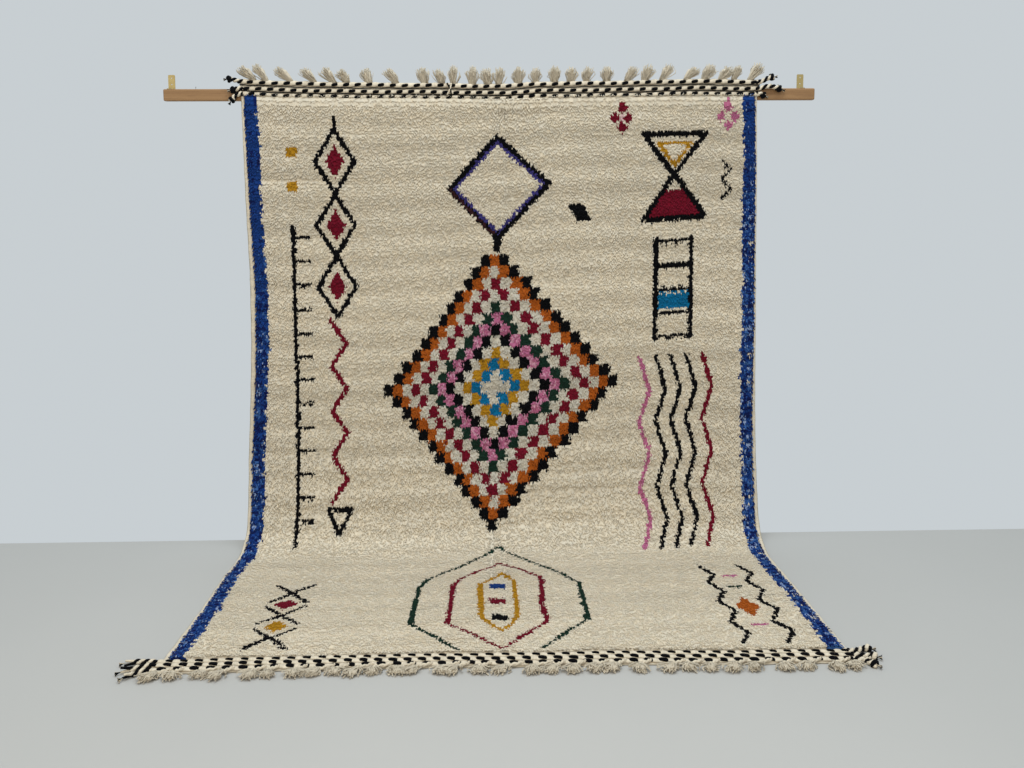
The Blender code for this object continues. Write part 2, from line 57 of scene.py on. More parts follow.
# %% Measures of the rug, the batten and the drape
BATTEN_DEPTH = 0.025
BATTEN_TOP_Z = 0.0225
SEAT = 0.0003
CLOTH_BACK_Y = -(BATTEN_DEPTH + SEAT)
FLOOR_Z = -1.7815
PILE_TOP_Z = -0.004
PILE_LENGTH = 2.54
PILE_THICK = 0.020
SEAM_GAP = 0.0004
SEAM_WAVE = 0.004
RIDGE_HIGH = 0.0018
PATCH_HIGH = 0.0009
BELLY_DEEP = 0.007
LEAN = math.radians(12.0)
LEAN_RUN = 0.62
TURN_RUN = 0.30
FRONT_FADE = 0.35
TABLE_STEP = 0.002
TABLE_START = -0.2
TABLE_PAST = 0.3
HALVINGS = 50
CREASE_ACROSS = 0.036

# The two long edges, as hand weaving left them: along, left and right edge, left and right selvedge's width
EDGE_TABLE = np.array([
    (0.00, -0.964, 1.032, 0.012, 0.009),
    (0.40, -0.957, 1.039, 0.018, 0.009),
    (0.67, -0.950, 1.041, 0.022, 0.009),
    (0.94, -0.953, 1.046, 0.022, 0.010),
    (1.40, -0.973, 1.050, 0.018, 0.016),
    (1.70, -0.974, 1.053, 0.014, 0.018),
    (1.95, -0.994, 1.053, 0.014, 0.017),
    (2.20, -0.990, 1.062, 0.016, 0.015),
    (2.54, -0.997, 1.069, 0.018, 0.014),
])


def edges_at(along):
    """Left and right edge of the cloth: straight between the rows of the table."""
    return tuple(np.interp(along, EDGE_TABLE[:, 0], EDGE_TABLE[:, side]) for side in (1, 2))


def selvedge_width(along, side):
    """Width of the flat selvedge on the left (side 0) or the right (side 1)."""
    return np.interp(along, EDGE_TABLE[:, 0], EDGE_TABLE[:, 3 + side])


def ease(t):
    """Rises from 0 to 1 with flat ends: three t squared less two t cubed, with t held between 0 and 1."""
    t = np.clip(t, 0.0, 1.0)
    return t * t * (3.0 - 2.0 * t)


FRONT_WIDTH = float(np.diff(edges_at(PILE_LENGTH))[0])
print(f"cloth {PILE_LENGTH} m long, {FRONT_WIDTH:.3f} m wide at its front edge")


# %% The drape
def drape_table():
    """Angle, forward reach and drop down the cloth.

    The angle eases from upright to a lean of 12 degrees, then to lying flat. Forward reach is the
    running sum of its sine and drop the running sum of its cosine. The turn's place is halved in on
    until the drop meets the floor.
    """
    along = np.arange(TABLE_START, PILE_LENGTH + TABLE_PAST, TABLE_STEP)
    goal = PILE_TOP_Z - FLOOR_Z

    def angle_for(turn):
        leaning = LEAN * ease((along - turn + LEAN_RUN) / (LEAN_RUN + TURN_RUN / 2))
        return leaning + (math.pi / 2 - LEAN) * ease((along - turn) / TURN_RUN)

    def summed(values):
        total = np.concatenate([[0.0], np.cumsum((values[1:] + values[:-1]) / 2) * TABLE_STEP])
        return total - np.interp(0.0, along, total)

    low, high = 0.5, PILE_LENGTH
    for _ in range(HALVINGS):
        turn = (low + high) / 2
        drop = summed(np.cos(angle_for(turn)))
        low, high = (turn, high) if drop[-1] < goal else (low, turn)
    angle = angle_for(turn)
    return along, angle, summed(np.sin(angle)), drop


DRAPE = drape_table()


def belly(across, along):
    """Soft upright waves of the hanging cloth: half plus two sines across it, none at either end."""
    held = ease(along / 0.40) * (1.0 - ease((along - 1.25) / 0.30))
    wave = 0.5 + 0.32 * np.sin(5.1 * across + 0.8) + 0.18 * np.sin(11.0 * across - 1.3 * along)
    return BELLY_DEEP * held * wave


def lumps(across, along):
    """The pile's uneven height: low ridges across the rug, broken along their length, and broad patches."""
    ridge = np.sin(58.0 * along + 1.7 * np.sin(3.1 * across))
    patch = np.sin(9.0 * across + 4.0 * along) + np.sin(17.0 * across - 7.0 * along + 1.0)
    return RIDGE_HIGH * ridge + PATCH_HIGH * patch


def seam(across, end):
    """The small wave of the pile's two ends, in metres along the cloth."""
    return SEAM_WAVE * (0.6 * np.sin(3.3 * across + 0.6 + end) + 0.4 * np.sin(8.2 * across))


# How far the front edge is drawn back from a level line: across, distance along the cloth
FRONT_TABLE = np.array([
    (-1.05, 0.012), (-0.90, 0.014), (-0.65, 0.0235), (-0.40, 0.025), (0.00, 0.019),
    (0.38, 0.017), (0.60, 0.008), (0.78, 0.008), (0.95, 0.011), (1.10, 0.008),
])


def front_wave(across):
    """The front edge's wave along the cloth: the small seam wave less the table's distance."""
    return seam(across, PILE_LENGTH) - np.interp(across, FRONT_TABLE[:, 0], FRONT_TABLE[:, 1])


def near_front(along):
    """How much of the front edge's wave a row takes: a straight rise to 1 over the last 0.35 m."""
    return np.clip(1.0 - (PILE_LENGTH - along) / FRONT_FADE, 0.0, 1.0)


def cloth_point(across, along, off):
    """World points of places on the cloth.

    x is across. y and z follow the drape's forward reach and drop, and off, with the belly added, is
    laid along the cloth's normal, which turns with the drape's angle.
    """
    across, along, off = np.broadcast_arrays(across, along, off)
    angle, forward, drop = (np.interp(along, DRAPE[0], column) for column in DRAPE[1:])
    away = off + belly(across, along)
    y = CLOTH_BACK_Y - forward - away * np.cos(angle)
    z = np.maximum(PILE_TOP_Z - drop, FLOOR_Z) + away * np.sin(angle)
    return np.stack([across, y, z], axis=-1)


print("front edge lies", round(-float(cloth_point(0.0, PILE_LENGTH, 0.0)[1]), 3), "m forwards")

# %% [markdown]
# ## From arrays to meshes
# Every new piece is whole arrays of points and of faces. One helper puts them into a mesh, with the
# wool's dye and its painted shade as a colour attribute, and one carries a round section along many
# paths at once, for yarn, cord and tassel.

# %% Put arrays into a mesh
PIECES = {}


def make_piece(name, points, blocks, material, dye_and_shade=None, uv=None, smooth=True):
    """Makes an object from points (n, 3) and blocks of faces, each (faces, corners) of point numbers.

    dye_and_shade and uv each have one row for every point or one for every corner.
    """
    points = np.asarray(points, np.float32).reshape(-1, 3)
    corners = np.concatenate([np.asarray(block).ravel() for block in blocks]).astype(np.int32)
    sizes = np.concatenate([np.full(len(block), np.shape(block)[1]) for block in blocks])
    mesh = bpy.data.meshes.new(name)
    mesh.vertices.add(len(points))
    mesh.vertices.foreach_set("co", points.ravel())
    mesh.loops.add(len(corners))
    mesh.loops.foreach_set("vertex_index", corners)
    mesh.polygons.add(len(sizes))
    mesh.polygons.foreach_set("loop_start", (np.cumsum(sizes) - sizes).astype(np.int32))
    mesh.update(calc_edges=True)
    mesh.polygons.foreach_set("use_smooth", np.full(len(sizes), smooth))
    if dye_and_shade is not None:
        dye_and_shade = np.asarray(dye_and_shade, np.float32).reshape(-1, 3)
        domain = "POINT" if len(dye_and_shade) == len(points) else "CORNER"
        layer = mesh.color_attributes.new(name="dye_and_shade", type="FLOAT_COLOR", domain=domain)
        layer.data.foreach_set("color", np.insert(dye_and_shade, 3, 1.0, axis=1).ravel())
    if uv is not None:
        uv = np.asarray(uv, np.float32).reshape(-1, 2)
        per_corner = uv if len(uv) == len(corners) else uv[corners]
        mesh.uv_layers.new(name="thread").data.foreach_set("uv", per_corner.ravel())
    mesh.materials.append(material)
    made = bpy.data.objects.new(name, mesh)
    bpy.context.scene.collection.objects.link(made)
    PIECES[name] = made
    print(f"{name}: {int((sizes - 2).sum())} triangles")
    return made


def joined(parts):
    """Several (points, blocks, dye, uv) made one: each part's point numbers move past the last part's."""
    points = np.concatenate([part[0].reshape(-1, 3) for part in parts])
    dye_and_shade = np.concatenate([part[2].reshape(-1, 3) for part in parts])
    blocks, uvs, start = [], [], 0
    for part in parts:
        blocks += [block + start for block in part[1]]
        uvs.append(part[3].reshape(-1, 2))
        start += len(part[0].reshape(-1, 3))
    return points, blocks, dye_and_shade, np.concatenate(uvs)


# %% Carry a round section along many paths
def sweep(paths, radii, sides, facing, dye_and_shade, flat=1.0):
    """Closed tubes along paths (tubes, stations, 3), with radii (tubes, stations).

    At each station the tangent is the path's slope, side is tangent x facing, and rise is side x
    tangent. A ring is centre + radius (cos t side + flat sin t rise). Quads join the rings, and a face
    closes each end. The UV map gives the turn round the tube and the length along it, in metres.
    """
    paths = np.asarray(paths, float)
    tubes, stations, _ = paths.shape
    radii = np.broadcast_to(radii, (tubes, stations))
    tangent = np.gradient(paths, axis=1)
    tangent /= np.linalg.norm(tangent, axis=2, keepdims=True)
    side = np.cross(tangent, np.broadcast_to(facing, tangent.shape))
    side /= np.linalg.norm(side, axis=2, keepdims=True)
    rise = np.cross(side, tangent)
    turn = np.arange(sides) * 2 * math.pi / sides
    ring = np.cos(turn)[:, None] * side[:, :, None] + flat * np.sin(turn)[:, None] * rise[:, :, None]
    points = paths[:, :, None] + radii[:, :, None, None] * ring
    index = np.arange(tubes * stations * sides).reshape(tubes, stations, sides)
    here, there = index[:, :-1], index[:, 1:]
    quads = np.stack([here, there, np.roll(there, -1, 2), np.roll(here, -1, 2)], axis=-1).reshape(-1, 4)
    caps = np.concatenate([index[:, 0], index[:, -1, ::-1]])
    step = np.linalg.norm(np.diff(paths, axis=1), axis=2)
    length = np.concatenate([np.zeros((tubes, 1)), np.cumsum(step, axis=1)], axis=1)
    u = np.broadcast_to(np.arange(sides) / sides, here.shape)
    v0 = np.broadcast_to(length[:, :-1, None], here.shape)
    v1 = np.broadcast_to(length[:, 1:, None], here.shape)
    nearer, further = u, u + 1 / sides
    quad_uv = np.stack([nearer, v0, nearer, v1, further, v1, further, v0], axis=-1).reshape(-1, 2)
    cap_uv = np.zeros((caps.size, 2))
    shades = np.broadcast_to(np.asarray(dye_and_shade, float), (tubes, stations, sides, 3))
    return points, [quads, caps], shades, np.concatenate([quad_uv, cap_uv])


print("a tube of 2 stations and 6 sides has", 6 * 2 + 2 * 4, "triangles")


# %% [markdown]
# ## Materials
# Shader maths reads best as Python. Thread wraps one output of a node, so a sum of threads adds its own
# Math nodes, and Recipe is one material, with one method that makes any other node.

# %% Write shader sums as Python
class Thread:
    """A number or colour on its way through a material."""

    def __init__(self, tree, socket):
        self.tree = tree
        self.socket = socket

    def worked(self, operation, first, second=0.0):
        node = self.tree.nodes.new("ShaderNodeMath")
        node.operation = operation
        feed(self.tree, node.inputs[0], first)
        feed(self.tree, node.inputs[1], second)
        return Thread(self.tree, node.outputs[0])

    def __add__(self, other):
        return self.worked("ADD", self, other)

    def __sub__(self, other):
        return self.worked("SUBTRACT", self, other)

    def __rsub__(self, other):
        return self.worked("SUBTRACT", other, self)

    def __mul__(self, other):
        return self.worked("MULTIPLY", self, other)

    def __gt__(self, other):
        return self.worked("GREATER_THAN", self, other)

    def sine(self):
        return self.worked("SINE", self)

    def fraction(self):
        return self.worked("FRACT", self)

    def size(self):
        return self.worked("ABSOLUTE", self)

    __radd__ = __add__
    __rmul__ = __mul__


def feed(tree, socket, value):
    """Links a thread to a socket, or sets a plain value on it."""
    if isinstance(value, Thread):
        tree.links.new(value.socket, socket)
    else:
        socket.default_value = value


def pick(sockets, key):
    """A socket by its number, its identifier or its name."""
    if isinstance(key, int):
        return sockets[key]
    return next((socket for socket in sockets if socket.identifier == key), None) or sockets[key]


class Recipe:
    """One material and its node tree."""

    def __init__(self, name):
        self.material = bpy.data.materials.new(name)
        self.material.use_nodes = True
        self.tree = self.material.node_tree
        self.shader = self.tree.nodes["Principled BSDF"]

    def node(self, kind, settings=None, inputs=None, out=0):
        """Adds any node: its settings first, then the values or threads of its sockets."""
        made = self.tree.nodes.new("ShaderNode" + kind)
        for key, value in (settings or {}).items():
            setattr(made, key, value)
        for key, value in (inputs or {}).items():
            feed(self.tree, pick(made.inputs, key), value)
        return Thread(self.tree, pick(made.outputs, out))

    def mix(self, share, one, two, blend="MIX"):
        """One colour towards another, by share. A plain colour is given as red, green and blue."""
        one, two = ((*colour, 1.0) if isinstance(colour, tuple) else colour for colour in (one, two))
        inputs = {"Factor_Float": share, "A_Color": one, "B_Color": two}
        return self.node("Mix", {"data_type": "RGBA", "blend_type": blend}, inputs, "Result_Color")

    def shaded(self, colour, shade):
        """A colour times one number."""
        grey = self.node("CombineColor", inputs={0: shade, 1: shade, 2: shade})
        return self.mix(1.0, colour, grey, "MULTIPLY")

    def coords(self, scale=(1.0, 1.0, 1.0)):
        """Object coordinates, drawn out by scale."""
        place = self.node("TexCoord", out="Object")
        return self.node("Mapping", inputs={"Vector": place, "Scale": scale})

    def thread_map(self, channel):
        """One channel of the piece's own UV map."""
        place = self.node("UVMap", {"uv_map": "thread"})
        return self.node("SeparateXYZ", inputs={"Vector": place}, out=channel)

    def noise(self, place, scale, detail):
        return self.node("TexNoise", inputs={"Vector": place, "Scale": scale, "Detail": detail})

    def finish(self, colour, roughness, metallic=0.0, relief=None, depth=0.0, fixed=()):
        """Feeds the shader. relief is a height and depth its greatest height in metres."""
        for key, value in (("Base Color", colour), ("Roughness", roughness), ("Metallic", metallic)):
            feed(self.tree, self.shader.inputs[key], value)
        if relief is not None:
            bumped = self.node("Bump", inputs={"Height": relief, "Distance": depth, "Strength": 1.0})
            feed(self.tree, self.shader.inputs["Normal"], bumped)
        for key, value in fixed:
            self.shader.inputs[key].default_value = value
        print("material:", self.material.name)
        return self.material


def tone(red, green, blue):
    """A linear colour from screen values: ((c / 255 + 0.055) / 1.055) to the power 2.4."""
    screen = np.array([red, green, blue]) / 255.0
    linear = np.where(screen > 0.04045, ((screen + 0.055) / 1.055) ** 2.4, screen / 12.92)
    return tuple(float(c) for c in linear)


# %% [markdown]
# ### Wool
# Wool is dyed in the hank, so each knot has its own shade. These shades and the painted shade of pile
# and tassels are in the meshes as an attribute named dye_and_shade. The material only adds what is
# finer than a strand: fibres that catch the light, and a soft sheen. Pile ends and yarn differ in their
# relief, because yarn shows the slant of its twist.

# %% Wool for the pile, the yarn and the cloth's back
FIBRE_SCALE = 700.0
PLY_PITCH = 0.0085
SOFT = (("Sheen Weight", 0.02), ("Sheen Roughness", 0.6), ("Specular IOR Level", 0.06))


def wool(name, ply):
    recipe = Recipe(name)
    dye_and_shade = recipe.node("Attribute", {"attribute_name": "dye_and_shade"}, out="Color")
    fibre = recipe.noise(recipe.coords(), FIBRE_SCALE, 3.0)
    tuft = recipe.noise(recipe.coords(), 55.0, 1.0)
    colour = recipe.shaded(dye_and_shade, 0.84 + 0.22 * fibre + 0.10 * tuft)
    relief, depth = fibre, 0.0006
    if ply:
        turn = recipe.thread_map("X")
        length = recipe.thread_map("Y")
        twist = ((length * (1 / PLY_PITCH) + turn) * (4 * math.pi)).sine()
        relief, depth = 0.5 + 0.35 * twist + 0.3 * fibre, 0.0009
    return recipe.finish(colour, 0.95, relief=relief, depth=depth, fixed=SOFT)


PILE_WOOL = wool("wool pile", False)
YARN_WOOL = wool("wool yarn", True)


def knotted_back():
    """The back of knotted cloth: a small pad for each knot, with rows of pale weft between them.

    The UV map counts knots across and rows along, so the fraction of each is the place within one knot.
    """
    recipe = Recipe("knotted back")
    dye_and_shade = recipe.node("Attribute", {"attribute_name": "dye_and_shade"}, out="Color")
    fibre = recipe.noise(recipe.coords(), FIBRE_SCALE, 3.0)
    column = (recipe.thread_map("X") * 2.0).fraction() - 0.5
    row = recipe.thread_map("Y").fraction() - 0.5
    pad = 1.0 - (column.size() * 1.2) * (column.size() * 1.2) - (row.size() * 1.9) * (row.size() * 1.9)
    weft = (row.size() + 0.12 * fibre) > 0.43
    wefted = recipe.mix(weft, dye_and_shade, tone(196, 182, 152))
    # Painted shade: each pad is lighter in its middle and darker towards its rim, between the knots
    colour = recipe.shaded(wefted, 0.66 + 0.28 * fibre + 0.12 * pad)
    return recipe.finish(colour, 0.95, relief=pad + 0.4 * fibre, depth=0.0015, fixed=SOFT)


KNOT_BACK = knotted_back()

# %% [markdown]
# ### Wood, brass and steel
# The batten is a planed softwood bar with an oiled, orange-brown face. Its grain is noise drawn out
# along the bar, so the ends show rings where the same noise is cut across. The brackets are thin brass
# with faint scratches and stains, and the screws are plain steel.

# %% Wood for the batten
def batten_wood():
    recipe = Recipe("oiled batten wood")
    warp = recipe.noise(recipe.coords((1.3, 9.0, 9.0)), 1.6, 2.0)
    drawn_out = recipe.coords((0.55, 34.0, 46.0))
    bands = recipe.node("Mapping", inputs={"Vector": drawn_out, "Location": (0.0, 0.3, 0.1)})
    grain = recipe.noise(bands, 2.2, 5.0)
    streak = ((grain * 9.0 + warp * 4.0).sine()) * 0.5 + 0.5
    pores = recipe.noise(recipe.coords((14.0, 420.0, 420.0)), 1.0, 2.0)
    colour = recipe.mix(streak * 0.55 + 0.15, tone(158, 121, 80), tone(126, 91, 53))
    colour = recipe.mix((pores > 0.62) * 0.35, colour, tone(86, 56, 32))
    colour = recipe.mix(warp * 0.4, colour, tone(147, 108, 68))
    relief = 0.6 * grain + 0.5 * pores
    return recipe.finish(colour, 0.46 + 0.2 * pores, relief=relief, depth=0.0003)


def plated(name, clean, worn, roughness):
    """A thin metal plate: scratches are noise drawn out one way, and stains are broad soft noise."""
    recipe = Recipe(name)
    stain = recipe.noise(recipe.coords(), 60.0, 4.0)
    scratch = recipe.noise(recipe.coords((900.0, 900.0, 60.0)), 1.0, 2.0)
    colour = recipe.mix(stain * 0.7, clean, worn)
    rough = roughness + 0.22 * stain + 0.1 * scratch
    return recipe.finish(colour, rough, 1.0, relief=scratch + 0.5 * stain, depth=0.0001)


BATTEN_WOOD = batten_wood()
BRASS = plated("plated brass", tone(204, 186, 132), tone(150, 124, 74), 0.32)
STEEL = plated("screw steel", tone(150, 146, 138), tone(92, 88, 82), 0.34)

for node_name, metal_or_wood in (
    ("batten", BATTEN_WOOD),
    ("bracket_left", BRASS),
    ("bracket_right", BRASS),
    ("screw_left", STEEL),
    ("screw_right", STEEL),
):
    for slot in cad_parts[node_name].material_slots:
        slot.material = metal_or_wood

# %% [markdown]
# ## The chart
# A weaver knots row by row from a chart, so the pattern is worked out in knots. Each knot of yarn opens
# into three strands of pile. A mask says which ends a motif takes, and motifs are painted in turn over
# the ivory field: a stepped lozenge of checks, an open lozenge, a nested medallion, traditional ladders,
# zigzags, combs and crosses beside them, and last the blue side stripes.

# %% Lay out the knots
KNOTS = 160
ROWS = 222
STRANDS = 3
ROW_PITCH = PILE_LENGTH / ROWS
rng = np.random.default_rng(1907)
ROW, END = np.meshgrid(np.arange(ROWS), np.arange(STRANDS * KNOTS), indexing="ij")


def weft_drift(across, along):
    """How far a row of knots drifts from level: a slant and a bow across, faded out at both ends."""
    fade = ease(along / 0.45) * ease((PILE_LENGTH - along) / 0.45)
    return -(0.035 * across + 0.020 * across**2) * fade


def pull(across):
    """How far the middle knots were pulled to the left: a soft bell across the rug."""
    return -0.026 * np.exp(-(((across - 0.02) / 0.24) ** 2))


def per_knot(low, high):
    """One random number for each knot, the same for all its strands."""
    return np.repeat(rng.uniform(low, high, (ROWS, KNOTS)), STRANDS, axis=1)


left_edge, right_edge = edges_at((ROW + 0.5) * ROW_PITCH)
PILE_LEFT = left_edge + selvedge_width((ROW + 0.5) * ROW_PITCH, 0)
PILE_RIGHT = right_edge - selvedge_width((ROW + 0.5) * ROW_PITCH, 1)
ACROSS = PILE_LEFT + (END + 0.5) / (STRANDS * KNOTS) * (PILE_RIGHT - PILE_LEFT)
ACROSS = ACROSS + pull(ACROSS)
ALONG = (ROW + 0.5) * ROW_PITCH
RAGGED_X = ACROSS + rng.uniform(-0.0025, 0.0025, ACROSS.shape)
RAGGED_S = ALONG + rng.uniform(-0.002, 0.002, ALONG.shape)
print(f"{ROWS} rows of {KNOTS} knots, {ACROSS.size} strands of pile")

# %% The dyes
DYES = {
    "ivory": tone(219, 207, 185),
    "black": tone(6, 6, 9),
    "crimson": tone(114, 17, 37),
    "orange": tone(167, 85, 26),
    "pink": tone(184, 106, 138),
    "green": tone(24, 48, 37),
    "teal": tone(12, 108, 152),
    "ochre": tone(178, 131, 32),
    "royal": tone(26, 60, 124),
    "light blue": tone(62, 100, 158),
    "navy": tone(16, 30, 84),
    "violet": tone(64, 58, 118),
    "umber": tone(56, 28, 30),
    "pale pink": tone(212, 178, 174),
    "pale rose": tone(206, 152, 172),
    "white": tone(203, 195, 179),
    "pale blue": tone(138, 156, 190),
}
NAMES = list(DYES)
FIELD = np.zeros(ACROSS.shape, int)


def paint(mask, name):
    FIELD[mask] = NAMES.index(name)


def near_line(points, wide, level=1.0):
    """Ends within half of wide of a line, by their distance from the nearest place on each piece of it.

    A piece that runs level keeps the share level of the width, and a steeper one keeps more.
    """
    found = np.zeros(ACROSS.shape, bool)
    for (x0, s0), (x1, s1) in zip(points, points[1:]):
        run_x, run_s = x1 - x0, s1 - s0
        long_square = run_x**2 + run_s**2
        share = np.clip(((RAGGED_X - x0) * run_x + (RAGGED_S - s0) * run_s) / long_square, 0.0, 1.0)
        reach = wide / 2 * (level + (1.0 - level) * (run_s**2 / long_square) ** 2)
        found |= np.hypot(RAGGED_X - x0 - share * run_x, RAGGED_S - s0 - share * run_s) < reach
    return found


def in_lozenge(middle, half_wide, half_long):
    """Ends where |x| / half_wide + |s| / half_long is below 1."""
    out = np.abs(RAGGED_X - middle[0]) / half_wide + np.abs(RAGGED_S - middle[1]) / half_long
    return out < 1.0


def in_block(x0, x1, s0, s1):
    return (RAGGED_X > x0) & (RAGGED_X < x1) & (RAGGED_S > s0) & (RAGGED_S < s1)


def zigzag(x, s0, s1, swing, step):
    """Points of a line down the rug that swings to and fro by swing at every step."""
    count = int(round((s1 - s0) / step)) + 1
    return [(x + (swing if n % 2 else -swing), s0 + (s1 - s0) * n / (count - 1)) for n in range(count)]


print(len(DYES), "dyes")

# %% [markdown]
# ### The stepped lozenge of checks
# Each check is three knots wide and four rows long. Its ring is the number of steps across plus the
# number of steps along from the middle check, and each ring has one dye: that sum alone draws the whole
# motif. Each row of checks sways by a strand or so, and the strands at a check's sides stray into the
# next one.

# %% Paint the lozenge of checks
RING_DYES = (
    "white", "white", "teal", "ochre", "white", "black", "pink",
    "green", "white", "crimson", "white", "orange", "black",
)
CHECK_KNOTS, CHECK_ROWS = 3, 4
MIDDLE_KNOT, MIDDLE_ROW = 78, 99
check_s = (ROW - MIDDLE_ROW + CHECK_ROWS // 2) // CHECK_ROWS
stray = rng.integers(-1, 2, ACROSS.shape) + np.rint(1.3 * np.sin(2.3 * check_s)).astype(int)
check_x = (END + stray - STRANDS * (MIDDLE_KNOT - CHECK_KNOTS // 2)) // (CHECK_KNOTS * STRANDS)
ring = np.abs(check_x) + np.abs(check_s)
# The topmost check is left out, because a stem joins it to the motif above
below_stem = check_s > 1 - len(RING_DYES)
for number, name in enumerate(RING_DYES):
    paint((ring == number) & below_stem, name)
paint((FIELD == NAMES.index("pink")) & (rng.uniform(size=ACROSS.shape) < 0.3), "pale rose")
print("checks:", int((ring < len(RING_DYES)).sum() / (CHECK_KNOTS * CHECK_ROWS * STRANDS)))

# %% Paint the open lozenge, the crosses and the medallion
OPEN = [(0.018, 0.150), (0.220, 0.338), (0.018, 0.544), (-0.168, 0.346), (0.018, 0.150)]
INNER = [(0.018, 0.172), (0.200, 0.338), (0.018, 0.520), (-0.148, 0.346), (0.018, 0.172)]
paint(near_line(INNER, 0.012), "violet")
paint(near_line(OPEN, 0.019), "black")
paint(near_line(OPEN[2:4], 0.010), "umber")
paint(near_line([(0.018, 0.534), (0.015, 0.580)], 0.026), "black")
CROSSES = (((0.503, 0.080), "crimson", "pale pink"), ((0.917, 0.076), "pink", "ivory"))
for middle, block_dye, heart in CROSSES:
    for step_x, step_s in ((-1, 0), (1, 0), (0, -1), (0, 1)):
        spot = (middle[0] + 0.0255 * step_x, middle[1] + 0.038 * step_s)
        paint(in_lozenge(spot, 0.021, 0.026), block_dye)
    paint(in_lozenge(middle, 0.013, 0.018), heart)
slant = (RAGGED_S - 0.458) * 0.55
paint((np.abs(RAGGED_X - 0.341 - slant) < 0.029) & (np.abs(RAGGED_S - 0.458) < 0.034), "black")


# The medallion's outlines, inner ones last. The green one runs out at the rug's front edge.
for name, wide, corners in (
    ("green", 0.018, [
        (-0.118, 2.519), (-0.276, 2.346), (-0.268, 2.090), (-0.248, 2.029), (0.013, 1.784),
        (0.243, 2.002), (0.296, 2.086), (0.300, 2.337), (0.143, 2.509),
    ]),
    ("crimson", 0.019, [
        (0.016, 1.900), (0.160, 2.022), (0.164, 2.060), (0.156, 2.240), (0.166, 2.344),
        (0.019, 2.514), (-0.154, 2.352), (-0.149, 2.075), (-0.127, 2.024), (0.016, 1.900),
    ]),
    ("ochre", 0.020, [
        (0.026, 1.989), (0.066, 2.050), (0.071, 2.318), (0.021, 2.404),
        (-0.045, 2.320), (-0.055, 2.066), (0.026, 1.989),
    ]),
):
    paint(near_line(corners, wide, 0.5), name)
for x0, x1, s, name in (
    (-0.021, 0.037, 2.090, "royal"),
    (-0.021, 0.032, 2.197, "crimson"),
    (-0.012, 0.043, 2.313, "black"),
):
    paint(in_block(x0, x1, s - 0.018, s + 0.018), name)
print("medallion of three outlines")

# %% [markdown]
# ### The two columns and the front corners
# The old weavers' stock of signs fills these: a chain of lozenges, a comb, a zigzag, an hourglass, a
# ladder and crossed lines. They are drawn with the same line helper, about one knot wide, and the
# ragged places of the ends give them their tufted edges.

# %% Paint the columns and the corners
for s in (0.235, 0.475, 0.715):
    chain = [(-0.610, s - 0.118), (-0.535, s), (-0.610, s + 0.118), (-0.685, s), (-0.610, s - 0.118)]
    paint(near_line(chain, 0.017), "black")
    paint(in_lozenge((-0.610, s), 0.036, 0.060), "crimson")
paint(near_line([(-0.610, 0.080), (-0.610, 0.118)], 0.016), "black")
paint(near_line(zigzag(-0.610, 0.850, 1.570, 0.030, 0.090), 0.017), "crimson")
paint(near_line([(-0.655, 1.600), (-0.565, 1.600), (-0.610, 1.700), (-0.655, 1.600)], 0.016), "black")
paint(near_line([(-0.775, 0.480), (-0.775, 1.760)], 0.016), "black")
for s in np.arange(0.520, 1.740, 0.094):
    paint(near_line([(-0.775, s), (-0.715, s)], 0.013), "black")
for s in (0.200, 0.330):
    paint(in_block(-0.795, -0.755, s - 0.017, s + 0.017), "ochre")

HOURGLASS = [(0.590, 0.150), (0.830, 0.150), (0.590, 0.500), (0.830, 0.500), (0.590, 0.150)]
paint(near_line([(0.648, 0.190), (0.772, 0.190), (0.710, 0.285), (0.648, 0.190)], 0.016), "ochre")
for s in np.arange(0.392, 0.492, ROW_PITCH):
    reach = (s - 0.330) * 0.66
    paint(in_block(0.710 - reach, 0.710 + reach, s - 0.006, s + 0.006), "crimson")
paint(near_line(HOURGLASS, 0.022), "black")
for x in (0.640, 0.780):
    paint(near_line([(x, 0.580), (x, 0.975)], 0.018), "black")
for s in np.arange(0.592, 0.980, 0.0945):
    paint(near_line([(0.640, s), (0.780, s)], 0.016), "black")
paint(in_block(0.650, 0.770, 0.795, 0.860), "teal")
for x, name in ((0.600, "pink"), (0.665, "black"), (0.725, "black"), (0.785, "black"), (0.850, "crimson")):
    paint(near_line(zigzag(x, 1.050, 1.830, 0.020, 0.130), 0.016), name)
for s in (0.280, 0.365):
    paint(near_line([(0.900, s), (0.935, s + 0.035), (0.900, s + 0.070)], 0.012), "black")

for s in (2.040, 2.200, 2.360):
    paint(near_line([(-0.770, s), (-0.640, s + 0.130)], 0.015), "black")
    paint(near_line([(-0.640, s), (-0.770, s + 0.130)], 0.015), "black")
for s, name in ((2.185, "crimson"), (2.345, "ochre")):
    paint(in_lozenge((-0.705, s), 0.040, 0.040), name)
paint(near_line(zigzag(0.775, 2.000, 2.500, 0.020, 0.062), 0.016), "black")
paint(near_line(zigzag(0.915, 2.000, 2.500, 0.020, 0.062), 0.016), "black")
for s, name in ((2.080, "pink"), (2.160, "green"), (2.400, "pink")):
    paint(near_line([(0.820, s), (0.868, s)], 0.014), name)
paint(in_lozenge((0.844, 2.290), 0.040, 0.060), "orange")
print("signs painted:", int((FIELD > 0).sum()), "ends dyed")

# %% [markdown]
# ### The blue side stripes
# The stripes are four knots wide with ragged edges. At the top they are one royal blue. Further down
# the weaver used up other hanks, so light and dark blues mix, with a few undyed ends among them.

